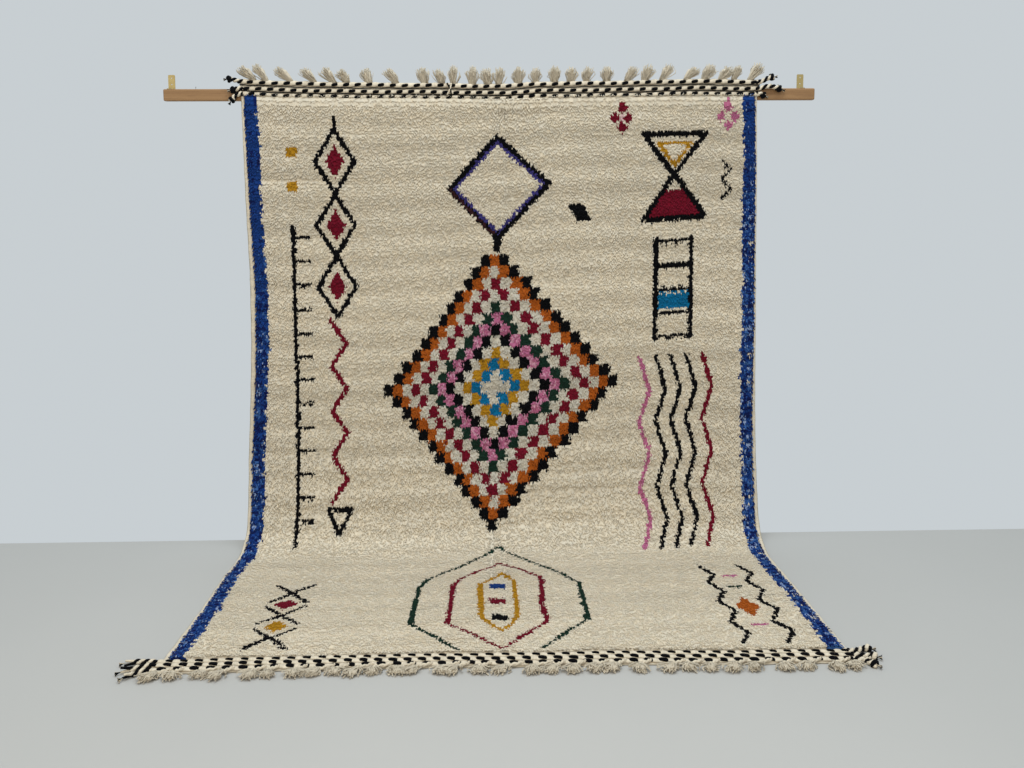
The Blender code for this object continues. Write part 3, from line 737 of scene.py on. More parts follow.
# %% Paint the side stripes and shade every end
rag = np.repeat(rng.uniform(-0.005, 0.005, (ROWS, 1)), STRANDS * KNOTS, axis=1)
rag += rng.uniform(-0.004, 0.004, ACROSS.shape) + 0.003 * np.sin(ALONG * 9.0)
STRIPE_WIDE = 0.048
stripe = (ACROSS - PILE_LEFT < STRIPE_WIDE + rag) | (PILE_RIGHT - ACROSS < STRIPE_WIDE - rag)
mottled = ease((ALONG - np.where(ACROSS < 0.0, 0.45, 0.05)) / 0.6)
draw = 0.25 * rng.uniform(0.0, 1.0, (ROWS, 1)) + 0.33 * per_knot(0.0, 1.0)
draw = draw + 0.42 * rng.uniform(0.0, 1.0, ACROSS.shape)
paint(stripe, "royal")
paint(stripe & (draw < 0.29 + 0.13 * mottled), "navy")
paint(stripe & (draw > 0.82 - 0.17 * mottled), "light blue")
fleck = rng.uniform(size=ACROSS.shape) + np.where(ACROSS < 0.0, 0.06, 0.0)
paint(stripe & (fleck < 0.01 + 0.10 * mottled), "pale blue")
paint(stripe & (fleck < 0.012 * mottled), "ivory")

SHADES = np.array([DYES[name] for name in NAMES])[FIELD]
hank = 1.0 + 0.020 * np.sin(ROW * 0.31 + 1.2 * np.sin(ACROSS * 1.7)) + 0.020 * np.sin(ROW * 0.083 + 2.0)
strength = hank * per_knot(0.97, 1.03) * rng.uniform(0.96, 1.04, ACROSS.shape)
# Painted shade: the ends are darker towards the rug's top, by up to 7 % at its top edge
strength = strength * (1.0 - 0.07 * (1.0 - ease(ALONG / 0.9)))
SHADES = SHADES * strength[..., None]
warmth = per_knot(-0.02, 0.02)
SHADES[..., 0] *= 1.0 + warmth
SHADES[..., 2] *= 1.0 - 1.6 * warmth
print("stripe ends:", int(stripe.sum()))

# %% [markdown]
# ## The ground cloth
# Under the pile is a flat woven cloth, and its back shows when the rug is seen from behind: there each
# knot is a small pad in its own colour. The back is a grid of one quad for each knot, coloured from the
# same chart, and the front, which the pile covers, needs only a few wide columns on the same rows. Both
# meet round the rim, so the sheet is closed.

# %% Make the ground cloth
CLOTH_THICK = 0.0038
BACK_OFF = 0.0004


def cloth_rows(across, row_number):
    """Along of a row's line: even rows, drifted with the weft, and waved at the pile's two ends."""
    along = row_number * ROW_PITCH
    near_top = np.clip(1.0 - along / 0.016, 0.0, 1.0)
    wave = seam(across, 0.0) * near_top + front_wave(across) * near_front(along)
    return along + weft_drift(across, along) + wave


def closed_sheet(rows, wide, columns, fine_behind):
    """Faces of a closed sheet: a fine grid, a coarse one on some of its columns, and the rim between.

    Point numbers run over the fine grid and then over the coarse one. fine_behind says that the fine
    grid is at the back.
    """
    fine = np.arange(rows * wide).reshape(rows, wide)
    coarse = rows * wide + np.arange(rows * len(columns)).reshape(rows, -1)
    faces = [grid_quads(fine, True), grid_quads(coarse, False)]
    faces.append(np.stack([fine[:-1, 0], fine[1:, 0], coarse[1:, 0], coarse[:-1, 0]], axis=-1))
    faces.append(np.stack([coarse[:-1, -1], coarse[1:, -1], fine[1:, -1], fine[:-1, -1]], axis=-1))
    for at, start in ((0, True), (-1, False)):
        for number, (first, last) in enumerate(zip(columns, columns[1:])):
            rim = np.concatenate([fine[at, first:last + 1], coarse[at, [number + 1, number]]])
            faces.append((rim[::-1] if start else rim)[None])
    return faces if fine_behind else [block[:, ::-1] for block in faces]


def corner_colours(faces, fine_colours, other):
    """One colour for each corner: the fine grid's faces have their own colours, and the rest one other."""
    colours = np.tile(np.array(other), (sum(block.size for block in faces), 1))
    colours[: 4 * len(fine_colours)] = np.repeat(fine_colours, 4, axis=0)
    return colours


def grid_quads(index, flip):
    """Quads of a grid of point numbers, turned over when flip is set."""
    quads = np.stack([index[:-1, :-1], index[1:, :-1], index[1:, 1:], index[:-1, 1:]], axis=-1)
    quads = quads.reshape(-1, 4)
    return quads[:, ::-1] if flip else quads


row_line = np.arange(ROWS + 1)[:, None]
cloth_left, cloth_right = edges_at(row_line * ROW_PITCH)
pile_share = np.arange(KNOTS + 1)[None, :] / KNOTS
pile_left = cloth_left + selvedge_width(row_line * ROW_PITCH, 0)
pile_right = cloth_right - selvedge_width(row_line * ROW_PITCH, 1)
inner = pile_left + pile_share * (pile_right - pile_left)
inner = inner + pull(inner)
back_x = np.hstack([cloth_left, inner, cloth_right])
back = cloth_point(back_x, cloth_rows(back_x, row_line), BACK_OFF)
front_columns = [0, 1, 41, 81, 121, KNOTS + 1, KNOTS + 2]
front_x = back_x[:, front_columns]
front = cloth_point(front_x, cloth_rows(front_x, row_line), BACK_OFF + CLOTH_THICK)
blocks = closed_sheet(*back_x.shape, front_columns, True)
knot_colours = SHADES[:, 1::STRANDS]
selvedge_dye = np.broadcast_to(np.array(tone(214, 204, 182)), (ROWS, 1, 3))
face_colours = np.concatenate([selvedge_dye, knot_colours, selvedge_dye], axis=1).reshape(-1, 3)
column_number = np.broadcast_to(np.arange(KNOTS + 3), back_x.shape)
row_number = np.broadcast_to(row_line, back_x.shape)
back_uv = np.stack([column_number, row_number], axis=-1).reshape(-1, 2)
front_uv = np.stack([column_number[:, front_columns], row_number[:, front_columns]], axis=-1).reshape(-1, 2)
ground = make_piece(
    "ground_cloth", np.concatenate([back.reshape(-1, 3), front.reshape(-1, 3)]), blocks, KNOT_BACK,
    dye_and_shade=corner_colours(blocks, face_colours, tone(206, 194, 168)), uv=np.concatenate([back_uv, front_uv]),
)

# %% [markdown]
# ## The pile
# Hair particles would be lost in the export, and a bump would leave the rug flat. Real pile is so dense
# that only the upper quarter of each strand shows, so it is made in two layers. The body is one closed
# lumpy sheet, coloured knot by knot, at four fifths of the pile's height. Out of it come the strands:
# each is a small closed grain of five points and six triangles that leans down the rug over the next
# row. Whole rows stand a little higher or lower, which gives the faint lines across. The pile parts at
# the fold down the middle and where a row has opened.

# %% Shape the pile
LAY = 0.0185
RING_AT = 0.58
STRAND_HALF = 0.0037
STRAND_RISE = 0.0021
BODY_SHARE = 0.80
BODY_LAY = 0.45
RIM_OFF = 0.0047
UV_LEFT = 1.1
UV_SPAN = 2.6
OPEN_HALF = 0.0075
OPEN_EASE = 0.05
END_RUN = 0.03
EDGE_RUN = 0.030
# Painted shade of a strand's five points, darkest at its root deep in the pile: its root, its ring of three
# and its tip
STRAND_PAINTED_SHADE = np.array([0.90, 0.97, 1.01, 0.97, 1.02])

# How far the top end of the rug hangs below a level line: across, drop
DROOP_TABLE = np.array([
    (-1.00, 0.000), (-0.82, 0.009), (-0.58, 0.012), (-0.33, 0.0160), (-0.07, 0.018),
    (0.05, 0.017), (0.17, 0.006), (0.57, 0.006), (0.80, 0.000), (1.00, 0.004),
])


def droop(across):
    """Drop of the twined rows: straight between the rows of the table."""
    return np.interp(across, DROOP_TABLE[:, 0], DROOP_TABLE[:, 1])


def laid(across, along):
    """Where the chart's places lie along the cloth: drifted with the weft, and waved at both its ends."""
    near_top = np.clip(1.0 - along / 0.05, 0.0, 1.0)
    top_wave = seam(across, 0.0) + 0.45 * droop(across)
    return along + weft_drift(across, along) + top_wave * near_top + front_wave(across) * near_front(along)


def parting(start, end, place, strength):
    """How open the pile is beside one row: a narrow bell along the rug, eased in and out across it."""
    bell = np.exp(-(((ALONG - place) / OPEN_HALF) ** 2))
    return strength * bell * ease((ACROSS - start) / OPEN_EASE) * ease((end - ACROSS) / OPEN_EASE)


# Rows that have opened: from and to across, place along, strength
OPEN_ROWS = (
    (-0.93, -0.60, 0.300, 0.8), (0.08, 0.62, 1.560, 1.0), (0.20, 0.78, 1.495, 0.7),
    (-0.52, -0.20, 1.470, 0.6), (0.25, 0.60, 1.872, 0.5), (-0.40, 0.10, 0.930, 0.35),
    (0.30, 0.75, 0.690, 0.35),
)
settled = laid(ACROSS, ALONG)
open_row = sum(parting(*place) for place in OPEN_ROWS)
loose = rng.uniform(0.0, 1.0, (ROWS, 1)) ** 2
loose = loose * (0.5 + 0.5 * np.sin(6.0 * ACROSS + rng.uniform(0.0, 6.3, (ROWS, 1))))
open_row += 0.5 * loose * ease((ALONG - 1.15) / 0.25) * (1.0 - ease((ALONG - 1.72) / 0.15))
from_crease = ACROSS - CREASE_ACROSS - 0.006 * np.sin(ALONG * 5.0)
crease = np.exp(-((from_crease / 0.016) ** 2)) * (0.75 + 0.25 * np.sin(ALONG * 7.0 + 1.0))
furrows = crease * (0.5 + 0.5 * np.cos(2 * math.pi * from_crease / 0.011))
low_crease = ease((ALONG - 1.62) / 0.1) * (1.0 - ease((ALONG - 1.98) / 0.1))
side_part = np.exp(-(((ACROSS + 0.012) / 0.010) ** 2)) * low_crease
combed = np.exp(-(((ACROSS - 0.09) / 0.13) ** 2)) * (1.0 - ease((ALONG - 0.03) / 0.15))

# How unruly the strands are: calm near the top, and wilder where the rug bulges above the turn
unruly = 0.6 + 0.4 * ease((ALONG - 0.3) / 0.4)
unruly += 0.5 * ease((ALONG - 1.15) / 0.25) * (1.0 - ease((ALONG - 1.72) / 0.15))

row_high = rng.normal(0.0, 0.0002, (ROWS, 1))
row_lay = rng.normal(0.0, 0.0008, (ROWS, 1))
height = PILE_THICK - 0.0012 + lumps(ACROSS, settled) + row_high + unruly * per_knot(-0.0006, 0.0006)
height += unruly * rng.normal(0.0, 0.0005, ACROSS.shape)
height -= 0.0050 * open_row + 0.0045 * furrows + 0.004 * side_part
end_fall = np.clip(1.0 - ALONG / END_RUN, 0.0, 1.0)
end_fall = end_fall + np.clip(1.0 - (PILE_LENGTH - ALONG) / END_RUN, 0.0, 1.0)
height -= 0.0016 * end_fall

first_rows = 1.0 - ease((ROW + 0.5) / 3.0)
last_rows = 1.0 - ease((ROWS - ROW - 0.5) / 3.0)
tip_s = LAY * (1.0 - 0.9 * first_rows - 0.5 * last_rows) + row_lay + 0.010 * combed
scatter = per_knot(-0.0035, 0.0035) + rng.normal(0.0, 0.0030, ACROSS.shape)
tip_s = tip_s + unruly * scatter - 0.006 * open_row
inside = ease(ALONG / END_RUN) * ease((PILE_LENGTH - ALONG) / END_RUN)
root_s = settled + inside * rng.normal(0.0, 0.0032, ACROSS.shape)
tip_s -= first_rows * rng.uniform(0.0, 0.016, ACROSS.shape)
apart = ((END % STRANDS) - 1.0) * 0.0006
tip_x = apart + unruly * (per_knot(-0.0018, 0.0018) + rng.normal(0.0, 0.0022, ACROSS.shape))
tip_x += 0.002 * crease * np.tanh(from_crease / 0.004) + 0.003 * side_part * np.sign(ACROSS + 0.012)
edge_left = np.clip(1.0 - (ACROSS - PILE_LEFT) / EDGE_RUN, 0.0, 1.0)
edge_right = np.clip(1.0 - (PILE_RIGHT - ACROSS) / EDGE_RUN, 0.0, 1.0)
tip_x += 0.003 * (edge_right**1.5 - edge_left**1.5)
height -= 0.0045 * (edge_left**3 + edge_right**3)
print("pile height", round(float(height.min()), 4), "to", round(float(height.max()), 4), "m")

# %% Make the body of the pile
RIM_WIDE = 0.006
body_x = inner.copy()
body_x[:, 1] = body_x[:, 0] + RIM_WIDE
body_x[:, -2] = body_x[:, -1] - RIM_WIDE
body_along = row_line * ROW_PITCH + BODY_LAY * LAY * ease(row_line / 4.0)
body_start, body_end = 0.001, PILE_LENGTH - 0.001
body_along[[0, 1, -2, -1], 0] = (body_start, body_start + RIM_WIDE, body_end - RIM_WIDE, body_end)
knot_high = np.pad(height.reshape(ROWS, KNOTS, STRANDS).mean(axis=2), 1, mode="edge")
four_knots = knot_high[:-1, :-1] + knot_high[:-1, 1:] + knot_high[1:, :-1] + knot_high[1:, 1:]
body_off = BODY_SHARE * four_knots / 4
body_off[[0, -1]] = RIM_OFF
body_off[:, [0, -1]] = RIM_OFF
body_front = cloth_point(body_x, laid(body_x, body_along), body_off)
body_columns = [0, 40, 80, 120, KNOTS]
under_x = body_x[:, body_columns]
body_back = cloth_point(under_x, laid(under_x, body_along), RIM_OFF - 0.0003)
body_faces = closed_sheet(*body_x.shape, body_columns, False)
body_points = np.concatenate([body_front.reshape(-1, 3), body_back.reshape(-1, 3)])
# Painted shade: the body's knot colours are 6 % darker than the strands', as shade under the strands
pile_body = make_piece(
    "pile_body", body_points, body_faces, PILE_WOOL,
    dye_and_shade=corner_colours(body_faces, 0.94 * knot_colours.reshape(-1, 3), tone(200, 188, 162)),
    uv=np.stack([(body_points[:, 0] + UV_LEFT) / UV_SPAN, body_points[:, 1] + body_points[:, 2]], axis=-1),
)


# %% Make the strands of the pile
def pile_strip(name, first_row, last_row):
    """The strands of some rows, five points each: a root in the body, a ring of three, and a tip.

    The ring's points are its middle + half cos t across and + rise sin t off the cloth, with t near
    -150, 90 and -30 degrees, so one edge of the grain is its ridge. Every point is then laid through
    cloth_point.
    """
    rows = slice(first_row, last_row)
    x, s = ACROSS[rows].ravel(), root_s[rows].ravel()
    lean_x, lean_s, high = tip_x[rows].ravel(), tip_s[rows].ravel(), height[rows].ravel()
    count = len(x)
    turn = np.radians([-150.0, 90.0, -30.0]) + rng.uniform(-0.5, 0.5, (count, 1))
    fuller = rng.uniform(0.82, 1.18, (count, 1))
    points = np.empty((count, 5, 3))
    points[:, 0] = np.stack([x + 0.15 * lean_x, s + 0.15 * lean_s, 0.55 * high], axis=-1)
    points[:, 1:4, 0] = (x + RING_AT * lean_x)[:, None] + STRAND_HALF * fuller * np.cos(turn)
    points[:, 1:4, 1] = (s + RING_AT * lean_s)[:, None] + rng.uniform(-0.002, 0.002, (count, 3))
    points[:, 1:4, 2] = (0.90 * high)[:, None] + STRAND_RISE * fuller * np.sin(turn)
    points[:, 4] = np.stack([x + lean_x, s + lean_s, 0.92 * high], axis=-1)
    world = cloth_point(*points.reshape(-1, 3).T).reshape(count, 5, 3)
    # A strand that leans up the rug would be inside out, so two points of its ring change places
    ring_way = np.cross(world[:, 2] - world[:, 1], world[:, 3] - world[:, 1])
    inward = np.einsum("ij,ij->i", ring_way, world[:, 4] - world[:, 0]) > 0.0
    for grains in (points, world):
        grains[inward, 1:3] = grains[inward, 2:0:-1]
    base = (np.arange(count) * 5)[:, None]
    pairs = ((1, 3), (3, 2), (2, 1))
    faces = [np.hstack([base + a, base + b, base + 4]) for a, b in pairs]
    faces += [np.hstack([base + b, base + a, base]) for a, b in pairs]
    # Painted shade: strands in the fold's furrows and the low parting are up to 30 % darker, and the first
    # rows, which face up to the light, nearly 20 % darker
    painted_shade = 1.0 - 0.30 * np.maximum(furrows, side_part) - 0.20 * first_rows
    painted_shade = painted_shade[rows].reshape(-1, 1, 1)
    dye_and_shade = SHADES[rows].reshape(-1, 1, 3) * painted_shade * STRAND_PAINTED_SHADE[:, None]
    uv = np.stack([(points[..., 0] + UV_LEFT) / UV_SPAN, 1.0 - points[..., 1] / UV_SPAN], axis=-1)
    return make_piece(name, world, [np.concatenate(faces)], PILE_WOOL, dye_and_shade=dye_and_shade, uv=uv)


STRIPS = (("pile_top", 0, 55), ("pile_upper", 55, 111), ("pile_lower", 111, 167), ("pile_floor", 167, ROWS))
pile_pieces = [pile_body] + [pile_strip(*strip) for strip in STRIPS]

# %% [markdown]
# ## The overcast selvedges
# Each long edge of the cloth is sewn over with cream yarn. It is a flat tube carried down the edge, and
# its radius rises and falls with each wrap of the yarn.

# %% Make the selvedges
CREAM = np.array(tone(216, 203, 180))
WRAP_PITCH = 0.0082


def add_yarn(name, parts):
    points, blocks, dye_and_shade, uv = joined(parts)
    return make_piece(name, points, blocks, YARN_WOOL, dye_and_shade=dye_and_shade, uv=uv)


def selvedge(side):
    """A flat tube down one edge, nearly as wide as the selvedge, with a ripple for each wrap."""
    along = np.arange(0.002, PILE_LENGTH - 0.002, WRAP_PITCH / 2)
    half = selvedge_width(along, side) / 2
    edge = edges_at(along)[side] + (half if side == 0 else -half)
    along = along + weft_drift(edge, along)
    path = cloth_point(edge + 0.0007 * np.sin(along * 60.0), along, 0.0046)
    radius = half + 0.0007 * np.where(np.arange(len(along)) % 2, 1.0, -1.0)
    dye_and_shade = CREAM * rng.uniform(0.86, 1.04, (1, len(along), 1, 1))
    facing = cloth_point(edge, along, 0.0146) - path
    flat = (0.0043 / half)[None, :, None, None]
    return sweep(path[None], radius[None], 6, facing[None], dye_and_shade, flat=flat)


selvedge_piece = add_yarn("overcast_selvedges", [selvedge(0), selvedge(1)])

# %% [markdown]
# ## The twined ends
# Both ends of the rug are bound with three rows of twining. In twining, a black and a cream yarn turn
# round each other as they pass across the warps, so a black stitch and a cream stitch show in turn.
# That is a helix: each yarn swings along the cloth by the sine and off it by the cosine of one phase,
# and the other yarn is half a turn behind. A flat strip of warp ends lies behind the rows, and at the
# top thin black cords lie between them.

# %% Twine the rows
BLACK = np.array(DYES["black"])
TWINE_PITCH = 0.045
TWINE_ROWS = 3
BAND_MIDDLE_OFF = 0.0080
SPLICE_ACROSS = -0.165


class Band:
    """One twined end: past is the distance from the pile's edge, towards the tassels.

    rows gives each row's middle past the pile, the turn at which its yarns start, and its black yarn's
    half width as a share of a row's. bias is how much longer the black stitches are than the cream
    ones, and wander how far one row's stitches run ahead of the next row's.
    """

    def __init__(self, at_top, width, ends, rows, bias, wander):
        self.at_top = at_top
        self.sign = -1.0 if at_top else 1.0
        self.end = 0.0 if at_top else PILE_LENGTH
        self.width = width
        self.ends = ends
        self.rows = rows
        self.bias = bias
        self.wander = wander

    def hang(self, across):
        """The drop of the band's outer edge below a level line, which only the hanging end has."""
        return droop(across) if self.at_top else 0.0 * across

    def phase(self, across, row):
        """The turn of one row's twining, which wanders as a hand's pull does."""
        ahead = 0.5 * np.sin(across * 4.1 + row) + 0.35 * np.sin(across * 11.0 + 2.0 * row)
        ahead = ahead + self.wander * np.sin(across * 2.6 + 1.9 * row)
        return 2 * math.pi * across / TWINE_PITCH + self.rows[row][1] + ahead

    def point(self, across, past, off, share=1.0):
        wave = seam(across, 0.0) if self.at_top else front_wave(across)
        along = self.end + self.sign * (SEAM_GAP + past) + wave + share * self.hang(across)
        return cloth_point(across, along, off)


TOP_ROWS = ((0.0520, 0.0, 0.26), (0.0270, 3.1, 0.26), (0.0065, 0.4, 0.26))
BOTTOM_ROWS = ((0.0545, 1.6, 0.30), (0.0320, 1.4, 0.27), (0.0110, 0.0, 0.19))
TOP_BAND = Band(True, 0.062, (-0.966, 1.040), TOP_ROWS, 0.25, 0.0)
BOTTOM_BAND = Band(False, 0.065, (-1.022, 1.076), BOTTOM_ROWS, 0.45, 1.3)


def twined(band):
    """Both yarns of each row, as swept helices.

    The swing off the cloth is the hyperbolic tangent of twice the phase's cosine: flatter than the
    cosine itself, so each stitch lies on top for longer and dives more steeply.
    """
    stations = int((band.ends[1] - band.ends[0]) / TWINE_PITCH * 10)
    across = np.linspace(*band.ends, stations)
    row_wide = band.width / TWINE_ROWS
    parts = []
    for row, (row_middle, _, black) in enumerate(band.rows):
        phase = band.phase(across, row)
        middle = row_middle + 0.0012 * np.sin(across * 23.0 + row * 2.0)
        for dye_and_shade, half, dive, flat, shift, bias, taper in (
            (CREAM, 0.42 * row_wide, 0.0010, 0.50, 0.0, -band.bias, 0.0),
            (BLACK, black * row_wide, 0.0040, 0.70, math.pi, band.bias, 0.12),
        ):
            uneven = 1.0 + 0.7 * np.sin(across * 53.0 + 2.0 * row) * np.sin(across * 29.0 + row)
            swing = np.tanh(2.0 * np.cos(phase + shift) + bias * uneven)
            past = middle + 0.0012 * np.sin(phase + shift)
            off = BAND_MIDDLE_OFF + dive * swing
            radius = half * (1.0 - taper + (0.14 + taper) * swing) * (1.0 + 0.04 * np.sin(across * 190.0))
            path = band.point(across, past, off)
            shades = dye_and_shade * rng.uniform(0.88, 1.06, (1, stations, 1, 1))
            normal = band.point(across, past, off + 0.01) - path
            parts.append(sweep(path[None], radius[None], 6, normal[None], shades, flat=flat))
    return parts


def thin_cords(band, pasts, stations=200):
    """Thin black cords between the rows, each a slight wave."""
    across = np.linspace(*band.ends, stations)
    parts = []
    for number, past in enumerate(pasts):
        wave = past + 0.0011 * np.sin(across * 31.0 + number * 2.0) + 0.0007 * np.sin(across * 77.0)
        path = band.point(across, wave, 0.0128 + 0.0005 * np.sin(across * 95.0))
        normal = band.point(across, wave, 0.0228) - path
        shades = BLACK * rng.uniform(0.9, 1.3, (1, stations, 1, 1))
        parts.append(sweep(path[None], 0.0019, 5, normal[None], shades))
    return parts


def warp_strip(band, stations):
    """The flat strip of warp ends behind the rows: a closed grid, 5 mm thick with its edges drawn thin.

    Twining shows the other way about on the back, so there each row is black where it is cream in
    front.
    """
    across = np.linspace(*band.ends, stations)[:, None]
    inmost, mid, outmost = (band.rows[number][0] for number in (2, 1, 0))
    inside = [inmost, (inmost + mid) / 2, mid, (mid + outmost) / 2, outmost]
    past = np.array([0.0, 0.02 * band.width, *inside, 0.98 * band.width, band.width])
    thick = np.array([0.0, 0.0036, *[0.0046] * 5, 0.0036, 0.0])
    front_face = band.point(across, past, SEAT + 0.001 + thick, past / band.width)
    back_face = band.point(across, past[1:-1], SEAT, past[1:-1] / band.width)
    section = np.concatenate([front_face, back_face[:, ::-1]], axis=1)
    size = section.shape[1]
    index = np.arange(stations * size).reshape(stations, size)
    loop = np.stack([index[:-1], index[1:], np.roll(index[1:], -1, 1), np.roll(index[:-1], -1, 1)], axis=-1)
    loop = loop.reshape(-1, 4)
    caps = np.stack([index[0], index[-1, ::-1]])
    if not band.at_top:
        loop, caps = loop[:, ::-1], caps[:, ::-1]
    shades = CREAM * 0.80 * rng.uniform(0.85, 1.08, (stations, size, 1))
    for row, column in ((0, 5), (1, 3), (2, 1)):
        shown = ease(2.0 * np.cos(band.phase(across, row)))
        at = size - 1 - column
        shades[:, at] = shades[:, at] * (1.0 - shown) + BLACK * shown
    corners = loop.size + caps.size
    return section, [loop, caps], shades, np.zeros((corners, 2))


def splice_cords(band, across):
    """Two short cords that cross where one length of twining yarn ends and the next begins."""
    t = np.linspace(0.0, 1.0, 12)
    parts = []
    for dye_and_shade, lean in ((BLACK * 1.1, 1.0), (CREAM, -1.0)):
        x = across + lean * 0.016 * (t - 0.5) + 0.004 * np.sin(t * math.pi)
        past = band.width * (0.98 - 0.72 * t)
        off = 0.0150 + 0.0045 * np.sin(t * math.pi)
        path = band.point(x, past, off)
        parts.append(sweep(path[None], 0.0033, 6, (1.0, 0.0, 0.2), dye_and_shade))
    return parts


top_rows = add_yarn(
    "top_twining",
    twined(TOP_BAND) + thin_cords(TOP_BAND, (0.0165, 0.0395)) + splice_cords(TOP_BAND, SPLICE_ACROSS)
    + [warp_strip(TOP_BAND, 280)],
)
bottom_rows = add_yarn("bottom_twining", twined(BOTTOM_BAND) + [warp_strip(BOTTOM_BAND, 130)])

# %% [markdown]
# ## The tassels
# Past the twining, the warp ends open into brushes: frizzy strands that fan out round a packed core. At
# the top each has sixty strands, which come straight out of the band and stand up in a puff. At the
# bottom the warp ends are first plied, two turned round each other in a short cord, and its forty-four
# strands are folded sideways.

# %% Where the tassels are: across, height, lean
TOP_TASSELS = np.array([
    (-0.944, 0.048, -0.010), (-0.905, 0.056, 0.006), (-0.810, 0.046, -0.006), (-0.722, 0.044, 0.004),
    (-0.632, 0.048, -0.008), (-0.588, 0.040, 0.012), (-0.495, 0.044, 0.010), (-0.386, 0.042, -0.010),
    (-0.268, 0.046, 0.000), (-0.196, 0.038, -0.012), (-0.152, 0.054, 0.004), (-0.078, 0.054, 0.002),
    (-0.016, 0.046, -0.004), (0.026, 0.050, 0.006), (0.102, 0.052, 0.000), (0.168, 0.048, 0.000),
    (0.244, 0.056, -0.002), (0.306, 0.050, 0.004), (0.368, 0.052, 0.006), (0.452, 0.050, -0.006),
    (0.542, 0.048, 0.006), (0.606, 0.056, 0.002), (0.692, 0.058, -0.004), (0.776, 0.046, 0.008),
    (0.850, 0.058, -0.002), (0.910, 0.050, 0.006), (0.965, 0.052, -0.008), (1.024, 0.062, 0.014),
])
BOTTOM_TASSELS = np.array([
    (-0.996, 0.050, -0.016), (-0.950, 0.044, 0.010), (-0.876, 0.036, 0.012), (-0.806, 0.050, -0.008),
    (-0.722, 0.048, 0.008), (-0.678, 0.044, 0.014), (-0.600, 0.046, 0.010), (-0.531, 0.044, -0.012),
    (-0.476, 0.038, 0.006), (-0.418, 0.048, -0.008), (-0.376, 0.040, 0.010), (-0.298, 0.046, 0.012),
    (-0.246, 0.042, -0.008), (-0.170, 0.044, 0.008), (-0.130, 0.048, -0.002), (-0.062, 0.046, 0.012),
    (0.016, 0.044, -0.010), (0.094, 0.048, 0.010), (0.164, 0.046, -0.006), (0.218, 0.050, 0.008),
    (0.288, 0.046, 0.000), (0.344, 0.044, -0.010), (0.412, 0.050, 0.010), (0.510, 0.048, -0.010),
    (0.553, 0.042, 0.012), (0.620, 0.046, 0.008), (0.698, 0.050, -0.008), (0.744, 0.044, 0.010),
    (0.836, 0.048, 0.012), (0.914, 0.044, -0.006), (0.990, 0.050, 0.010), (1.040, 0.044, 0.012),
])
print(len(TOP_TASSELS), "top tassels and", len(BOTTOM_TASSELS), "bottom tassels")


# %% Make the tassels
# A brush: half of its width at its root, where it starts past the band as a share of its height, and
# half of its width when open
TOP_BRUSH = (0.013, -0.10, 0.025)
BOTTOM_BRUSH = (0.009, 0.00, 0.032)
CORD_HIDDEN = 0.007
HANG_SHARE = 0.85
YARN_FACING = (0.35, -0.75, 0.55)


def opened(t):
    """How far a brush has opened at a share t of its height."""
    return ease((t - 0.18) / 0.60)


def tassel_cords(band, table, slants, root_off, mouth_off):
    """The plied cord of each tassel: two helices, half a turn apart, from the band to the brush's root."""
    t = np.linspace(0.0, 1.0, 13)[None, :]
    middle, high, lean = (column[:, None] for column in table.T)
    x = middle + slants[:, None] * (1.0 - ease(t)) + lean * 0.10 * t
    past = band.width - CORD_HIDDEN + (CORD_HIDDEN + 0.30 * high) * t
    off = root_off + (mouth_off - root_off) * t
    parts = []
    for half_turn in (0.0, math.pi):
        phase = 2 * math.pi * 2.2 * t + half_turn
        path = band.point(x + 0.0026 * np.sin(phase), past, off + 0.0026 * np.cos(phase))
        shades = CREAM * rng.uniform(0.84, 1.04, (len(table), t.size, 1, 1))
        parts.append(sweep(path, 0.0036 * (1.0 + 0.15 * t), 5, YARN_FACING, shades))
    return parts


def tassel_strands(band, table, slants, count, brush, low, high_off, half):
    """Frizzy strands that fan from a bundle: a straight reach plus two sines that grow towards the tip.

    low and high_off are how far off the cloth they reach, and half is a strand's half width.
    """
    root, start, spread = brush
    total = len(table) * count
    t = np.linspace(0.0, 1.0, 5)[None, :]
    middle, high, lean = (np.repeat(column, count)[:, None] for column in table.T)
    high = high + HANG_SHARE * band.hang(middle)
    fan = np.clip(rng.normal(0.0, 0.5, (total, 1)), -1.0, 1.0)
    rise = np.sqrt(np.clip(1.0 - 0.5 * fan**2, 0.3, 1.0)) * rng.uniform(0.72, 1.0, (total, 1))
    away = rng.uniform(0.0, 1.0, (total, 1))
    frizz = rng.uniform(0.0016, 0.0048, (total, 1)) * t
    wave = rng.uniform(0.0, 2 * math.pi, (total, 2))
    slant = np.repeat(slants, count)[:, None] * (1.0 - ease(t))
    x = middle + slant + lean * t + fan * (root + (spread - root) * opened(t))
    x = x + frizz * np.sin(9.0 * t + wave[:, :1])
    begin = start * high
    past = band.width + begin + ((high - begin) * rise) * t + frizz * np.cos(8.0 * t + wave[:, 1:])
    root_off = 0.5 * (low + high_off)
    off = root_off + (low + (high_off - low) * away - root_off) * np.sqrt(t)
    off = np.clip(off + frizz * np.sin(7.0 * t + wave[:, 1:]), low, None)
    path = band.point(x, past, off)
    radius = half * (1.0 - 0.35 * t) * rng.uniform(0.8, 1.2, (total, 1))
    # Painted shade: each strand is darker towards its root, inside the brush, and a little lighter at its
    # tip
    root_painted_shade = np.linspace(0.90, 1.03, t.size)[None, :, None, None]
    shades = CREAM * rng.uniform(0.76, 0.98, (total, 1, 1, 1)) * root_painted_shade
    return [sweep(path, radius, 3, YARN_FACING, shades)]


